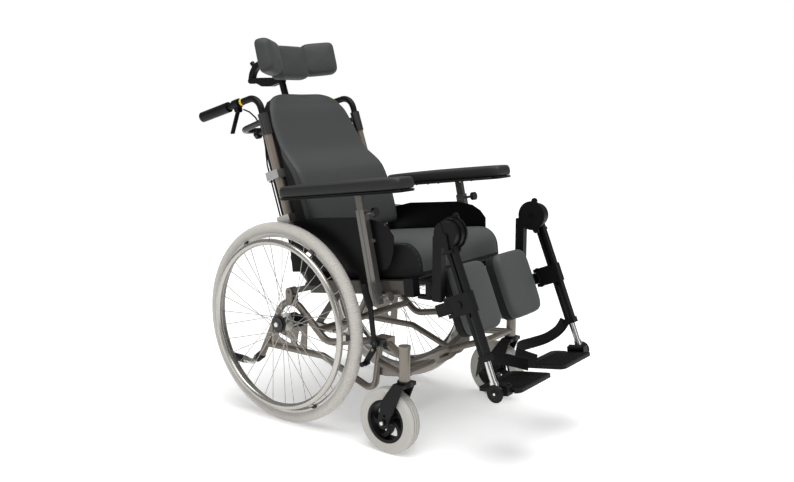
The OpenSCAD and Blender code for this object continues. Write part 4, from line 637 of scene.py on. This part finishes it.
# %% Headrest hinge
pin_y, cheek_r, cheek_x, cheek_thick = 0.042, 0.0096, 0.0124, 0.003
round_end = [(pin_y + cheek_r * math.cos(a), cheek_r * math.sin(a))
             for a in (math.radians(-90 + 15 * k) for k in range(13))]
cheek_outline = round_end + [(0.0225, cheek_r), (0.0225, -cheek_r)]
for s in (-1, 1):
    cheek = bmesh.new()
    loft(cheek, [[(s * cheek_x + s * q, y, z) for y, z in cheek_outline] for q in (0, cheek_thick)])
    piece("headrest_hinge_" + ("right" if s < 0 else "left"), cheek, head_axes, "headrest_pad", [black_paint],
          smooth=False)
print("headrest hinge cheeks made")

# %% [markdown]
# The arm pads are moulded foam with a soft, closed skin on a hard tray. A pad is a rounded block: an outline
# with full corners, sides that pull in a little, and a low crown. Its sides wear a darker copy of the skin as
# painted shade. The tray's lip is the same outline, lofted with a groove.

# %% Arm pads
arm_x, arm_y, tray_top, skin_edge = 0.260, -0.2745, 0.2883, 0.3172
lip_rows = [(0.2805, 0.9), (0.2805, 0.985), (0.2818, 1.0), (0.2838, 1.0), (0.2843, 0.985), (0.2848, 0.985),
            (0.2852, 1.0), (0.2876, 1.0), (0.2881, 0.99), (0.2881, 0.9)]
lip_outline = rounded_outline(0.0902, 0.4472, 8)
for s, word in ((-1, "right"), (1, "left")):
    arm = bmesh.new()
    add_pad(arm, 0.090, 0.447, 8, 0.033, 0.010, 0.003, Matrix.Translation((s * arm_x, arm_y, tray_top)))
    for face in arm.faces:
        # Faces below the skin edge take the darker copy, painted shade on the sides.
        face.material_index = 0 if face.calc_center_median().z > skin_edge else 1
    arm_piece = piece("arm_pad_" + word, arm, seat_axes, "armrest_" + word, [arm_skin, arm_pad_painted_shade],
                      replace=["armrest_pad_" + word], levels=1)
    lip = bmesh.new()
    loft(lip, [[(s * arm_x + x * q, y * q + arm_y, z) for x, y in lip_outline] for z, q in lip_rows])
    piece("arm_tray_" + word, lip, seat_axes, "armrest_" + word, [guard_plastic])
print("arm pads and their trays made")

# %% [markdown]
# A calf pad is a black moulded shell behind and a grey cushion in front, with a groove between them. Each row
# of the loft says how far forward it lies and how wide it is, as a share of the full outline.

# %% Calf pads
calf_x, calf_back, calf_up, calf_split = 0.118, 0.0977, -0.1805, 0.026
calf_outline = rounded_outline(0.172, 0.197, 6)
calf_rows = [(0.0, 0.95), (0.0, 0.975), (0.002, 0.99), (0.006, 1.0), (0.014, 1.0), (0.0215, 0.995),
             (0.0235, 0.985), (0.0245, 0.965), (0.0255, 0.965), (0.0265, 0.985), (0.0285, 0.998),
             (0.034, 1.0), (0.0405, 0.99), (0.0455, 0.965), (0.0485, 0.93), (0.0502, 0.88), (0.0512, 0.8),
             (0.0522, 0.66), (0.053, 0.5), (0.0536, 0.34), (0.054, 0.18), (0.054, 0.08)]
for s, word in ((-1, "right"), (1, "left")):
    calf = bmesh.new()
    loft(calf, [[(s * calf_x + x * q, calf_back - out, y * q + calf_up) for x, y in calf_outline]
                for out, q in calf_rows])
    for face in calf.faces:
        face.material_index = 0 if face.calc_center_median().y < calf_back - calf_split else 1
    calf_piece = piece("calf_cushion_" + word, calf, leg_axes, "calf_" + word, [grey_cloth, black_cloth],
                       replace=["calf_pad_" + word], levels=1)
print("calf pads made")

# %% [markdown]
# A heel strap keeps the foot from sliding back off its plate. It is flat webbing, made as a flat band that
# runs from the leg tube round behind the heel. Its inner end stops about 10 mm short of the plate. It rides
# on the leg tube.

# %% Heel straps
def band_rings(points, width, thick, lean):
    rings = []
    for i, p in enumerate(points):
        u = (Vector(points[min(len(points) - 1, i + 1)]) - Vector(points[max(0, i - 1)])).normalized()
        flat = Vector((0, 0, 1)).cross(u).normalized()
        rise = u.cross(flat).normalized()
        rise = (rise * (1 if rise.z > 0 else -1) + flat * lean).normalized()
        flat = rise.cross(u).normalized()
        rings.append([tuple(Vector(p) + rise * a * width / 2 + flat * b * thick / 2)
                      for a, b in ((-1, -1), (1, -1), (1, 1), (-1, 1))])
    return rings


def smooth_route(points, parts):
    return [tuple(v) for v in between(points, parts)]


strap_wide, strap_thick, strap_lean = 0.036, 0.0024, 0.15
strap_points = [(0.247, -0.668, 0.306), (0.232, -0.654, 0.276), (0.200, -0.630, 0.254),
                (0.150, -0.606, 0.246), (0.100, -0.596, 0.246), (0.062, -0.604, 0.246),
                (0.034, -0.626, 0.242), (0.024, -0.690, 0.236)]
for s, word in ((-1, "right"), (1, "left")):
    route = [(s * x, axle_y + y, z) for x, y, z in strap_points]
    points = smooth_route(route, 5)
    web = bmesh.new()
    loft(web, band_rings(points, strap_wide, strap_thick, strap_lean * s))
    strap = piece("heel_strap_" + word, web, upright, "leg_lower_" + word, [strap_web], smooth=False)
    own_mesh(strap)
print("heel straps made")

# %% [markdown]
# Screws and knobs are small, but the eye looks for them. A screw is a low round head with a sunk middle. A
# star knob is a disc with scooped lobes. Both are made lying flat and then turned to face out of their piece.

# %% Screw and knob helpers
def facing(point, direction):
    turn = Vector((0, 0, 1)).rotation_difference(Vector(direction))
    return Matrix.Translation(Vector(point)) @ turn.to_matrix().to_4x4()


def screw(name, axes, point, direction, r, body):
    bm = bmesh.new()
    bmesh.ops.create_cone(bm, cap_ends=True, segments=18, radius1=r, radius2=r * 0.86, depth=r * 0.6)
    top = max(bm.faces, key=lambda f: f.calc_center_median().z)
    bmesh.ops.inset_individual(bm, faces=[top], thickness=r * 0.34)
    top = max(bm.faces, key=lambda f: (round(f.calc_center_median().z, 5), -f.calc_area()))
    sunk = bmesh.ops.extrude_face_region(bm, geom=[top] + list(top.edges))["geom"]
    floor_verts = [g for g in sunk if isinstance(g, bmesh.types.BMVert)]
    bmesh.ops.translate(bm, vec=(0, 0, -r * 0.35), verts=floor_verts)
    bm.transform(Matrix.Translation((0, 0, r * 0.3)))
    bm.transform(facing(point, direction))
    return piece(name, bm, axes, body, [bright_screw], smooth=False)


def star_knob(name, axes, point, direction, r, h, lobes, body, paint):
    bm = bmesh.new()
    angles = [2 * math.pi * k / (lobes * 8) for k in range(lobes * 8)]
    reach = [r * (1 - 0.13 * (0.5 - 0.5 * math.cos(lobes * a))) for a in angles]
    outline = [(d * math.cos(a), d * math.sin(a)) for d, a in zip(reach, angles)]
    knob_rows = [(0, 0.9), (0.12, 1), (0.78, 1), (0.94, 0.93), (1, 0.8), (0.9, 0.45), (0.88, 0.12)]
    loft(bm, [[(x * q, y * q, h * z) for x, y in outline] for z, q in knob_rows])
    bm.transform(facing(point, direction))
    return piece(name, bm, axes, body, [paint])


print("screw and knob helpers ready")

# %% [markdown]
# The cane knobs clamp the handle tubes. The bright heads hold the wheel caps, guards, arm trays and casters.
# Each place comes from the box of the piece that carries it, or from that piece's own axes.

# %% Knobs and screws
guard_x, tray_screw_x, tray_under = 0.2441, 0.238, 0.2808
tray_screw_places = (-0.169, -0.215, -0.2557, -0.3375, -0.385)
guard_screws = (("front", -0.352, 0.150), ("rear", -0.11, 0.09))
button_r, guard_screw_r, tray_screw_r, bolt_r = 0.0085, 0.006, 0.0045, 0.0062
knob_back, knob_up, knob_r, knob_tall, knob_lobes = 0.034, 0.398, 0.0145, 0.0135, 6
for s, word in ((-1, "right"), (1, "left")):
    end = 0 if s < 0 else 1
    star_knob("cane_knob_" + word, back_axes, (s * cane_x, knob_back, knob_up), (0, 1, 0), knob_r,
              knob_tall, knob_lobes, "back", black_plastic)
    wheel_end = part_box("rear_wheel_" + word)[end].x
    screw("wheel_button_" + word, upright, (wheel_end, axle_y, wheel_r), (s, 0, 0), button_r,
          "rear_wheel_" + word)
    for place_word, y, z in guard_screws:
        screw("guard_screw_%s_%s" % (place_word, word), seat_axes, (s * guard_x, y, z), (s, 0, 0),
              guard_screw_r, "seat")
    for k, along_pad in enumerate(tray_screw_places):
        screw("arm_tray_screw_%s_%d" % (word, k), seat_axes, (s * tray_screw_x, along_pad, tray_under),
              (0, 0, -1), tray_screw_r, "armrest_" + word)
    fork_low, fork_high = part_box("caster_fork_" + word)
    wheel_low, wheel_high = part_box("caster_tyre_" + word)
    hub = (wheel_low + wheel_high) / 2
    for side, face_x in ((-1, fork_low.x), (1, fork_high.x)):
        screw("caster_bolt_%s_%s" % (word, "out" if side == s else "in"), upright, (face_x, hub.y, hub.z),
              (side, 0, 0), bolt_r, "caster_fork_" + word)
print("knobs and screws made")

# %% [markdown]
# The foot angle joint ends in a round black cap with a rim and one small screw. The cap is a turned shape: a
# circle lofted along the joint's own line, wider and narrower as the rim asks.

# %% Foot hub caps
foot_y, foot_z, foot_screw_out, foot_screw_r = axle_y - 0.72069, 0.22175, 0.0033, 0.0038
cap_rows = [(-0.001, 0.0236), (0.0012, 0.0242), (0.0026, 0.0234), (0.0032, 0.0215), (0.0024, 0.0195),
            (0.0024, 0.008), (0.0034, 0.0072), (0.0034, 0.005)]
cap_angles = [2 * math.pi * k / 32 for k in range(32)]
for s, word in ((-1, "right"), (1, "left")):
    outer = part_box("foot_bracket_" + word)[0 if s < 0 else 1].x
    hub_cap = bmesh.new()
    loft(hub_cap, [[(outer + s * out, foot_y + r * math.cos(a), foot_z + r * math.sin(a)) for a in cap_angles]
                   for out, r in cap_rows])
    piece("foot_hub_cap_" + word, hub_cap, upright, "foot_bracket_" + word, [black_plastic])
    screw("foot_hub_screw_" + word, upright, (outer + s * foot_screw_out, foot_y, foot_z), (s, 0, 0),
          foot_screw_r, "foot_bracket_" + word)
print("foot hub caps made")

# %% [markdown]
# A narrow yellow band sits on each handle tube, in front of the release lever. It is a thin sleeve. The
# handle isn't quite square to the canes, so the sleeve's circles stand square to the handle's own line.

# %% Handle bands
handle_turn, handle_up, band_along = math.radians(3.4), 0.508, 0.068
along = Vector((0, math.cos(handle_turn), math.sin(handle_turn)))
over_tube = Vector((0, -math.sin(handle_turn), math.cos(handle_turn)))
band_angles = [2 * math.pi * k / 24 for k in range(24)]
for s, word in ((-1, "right"), (1, "left")):
    band = bmesh.new()
    start = Vector((s * cane_x, 0, handle_up)) + along * band_along
    loft(band, [[tuple(start + along * q + Vector((math.cos(a), 0, 0)) * r + over_tube * math.sin(a) * r)
                 for a in band_angles]
                for q, r in ((0, 0.0106), (0.0005, 0.0114), (0.0075, 0.0114), (0.008, 0.0106))])
    piece("handle_band_" + word, band, back_axes, "push_handles", [yellow])
print("handle bands made")

# %% [markdown]
# The last cell keeps both boxes, of the CAD and of the dressed chair, and closes the scene.

# %% Sizes and finish
visual_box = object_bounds()
growth = [round((visual_box[k][i] - cad_box[k][i]) * 1000, 1) for k in (0, 1) for i in range(3)]
print("grown by", growth, "mm")
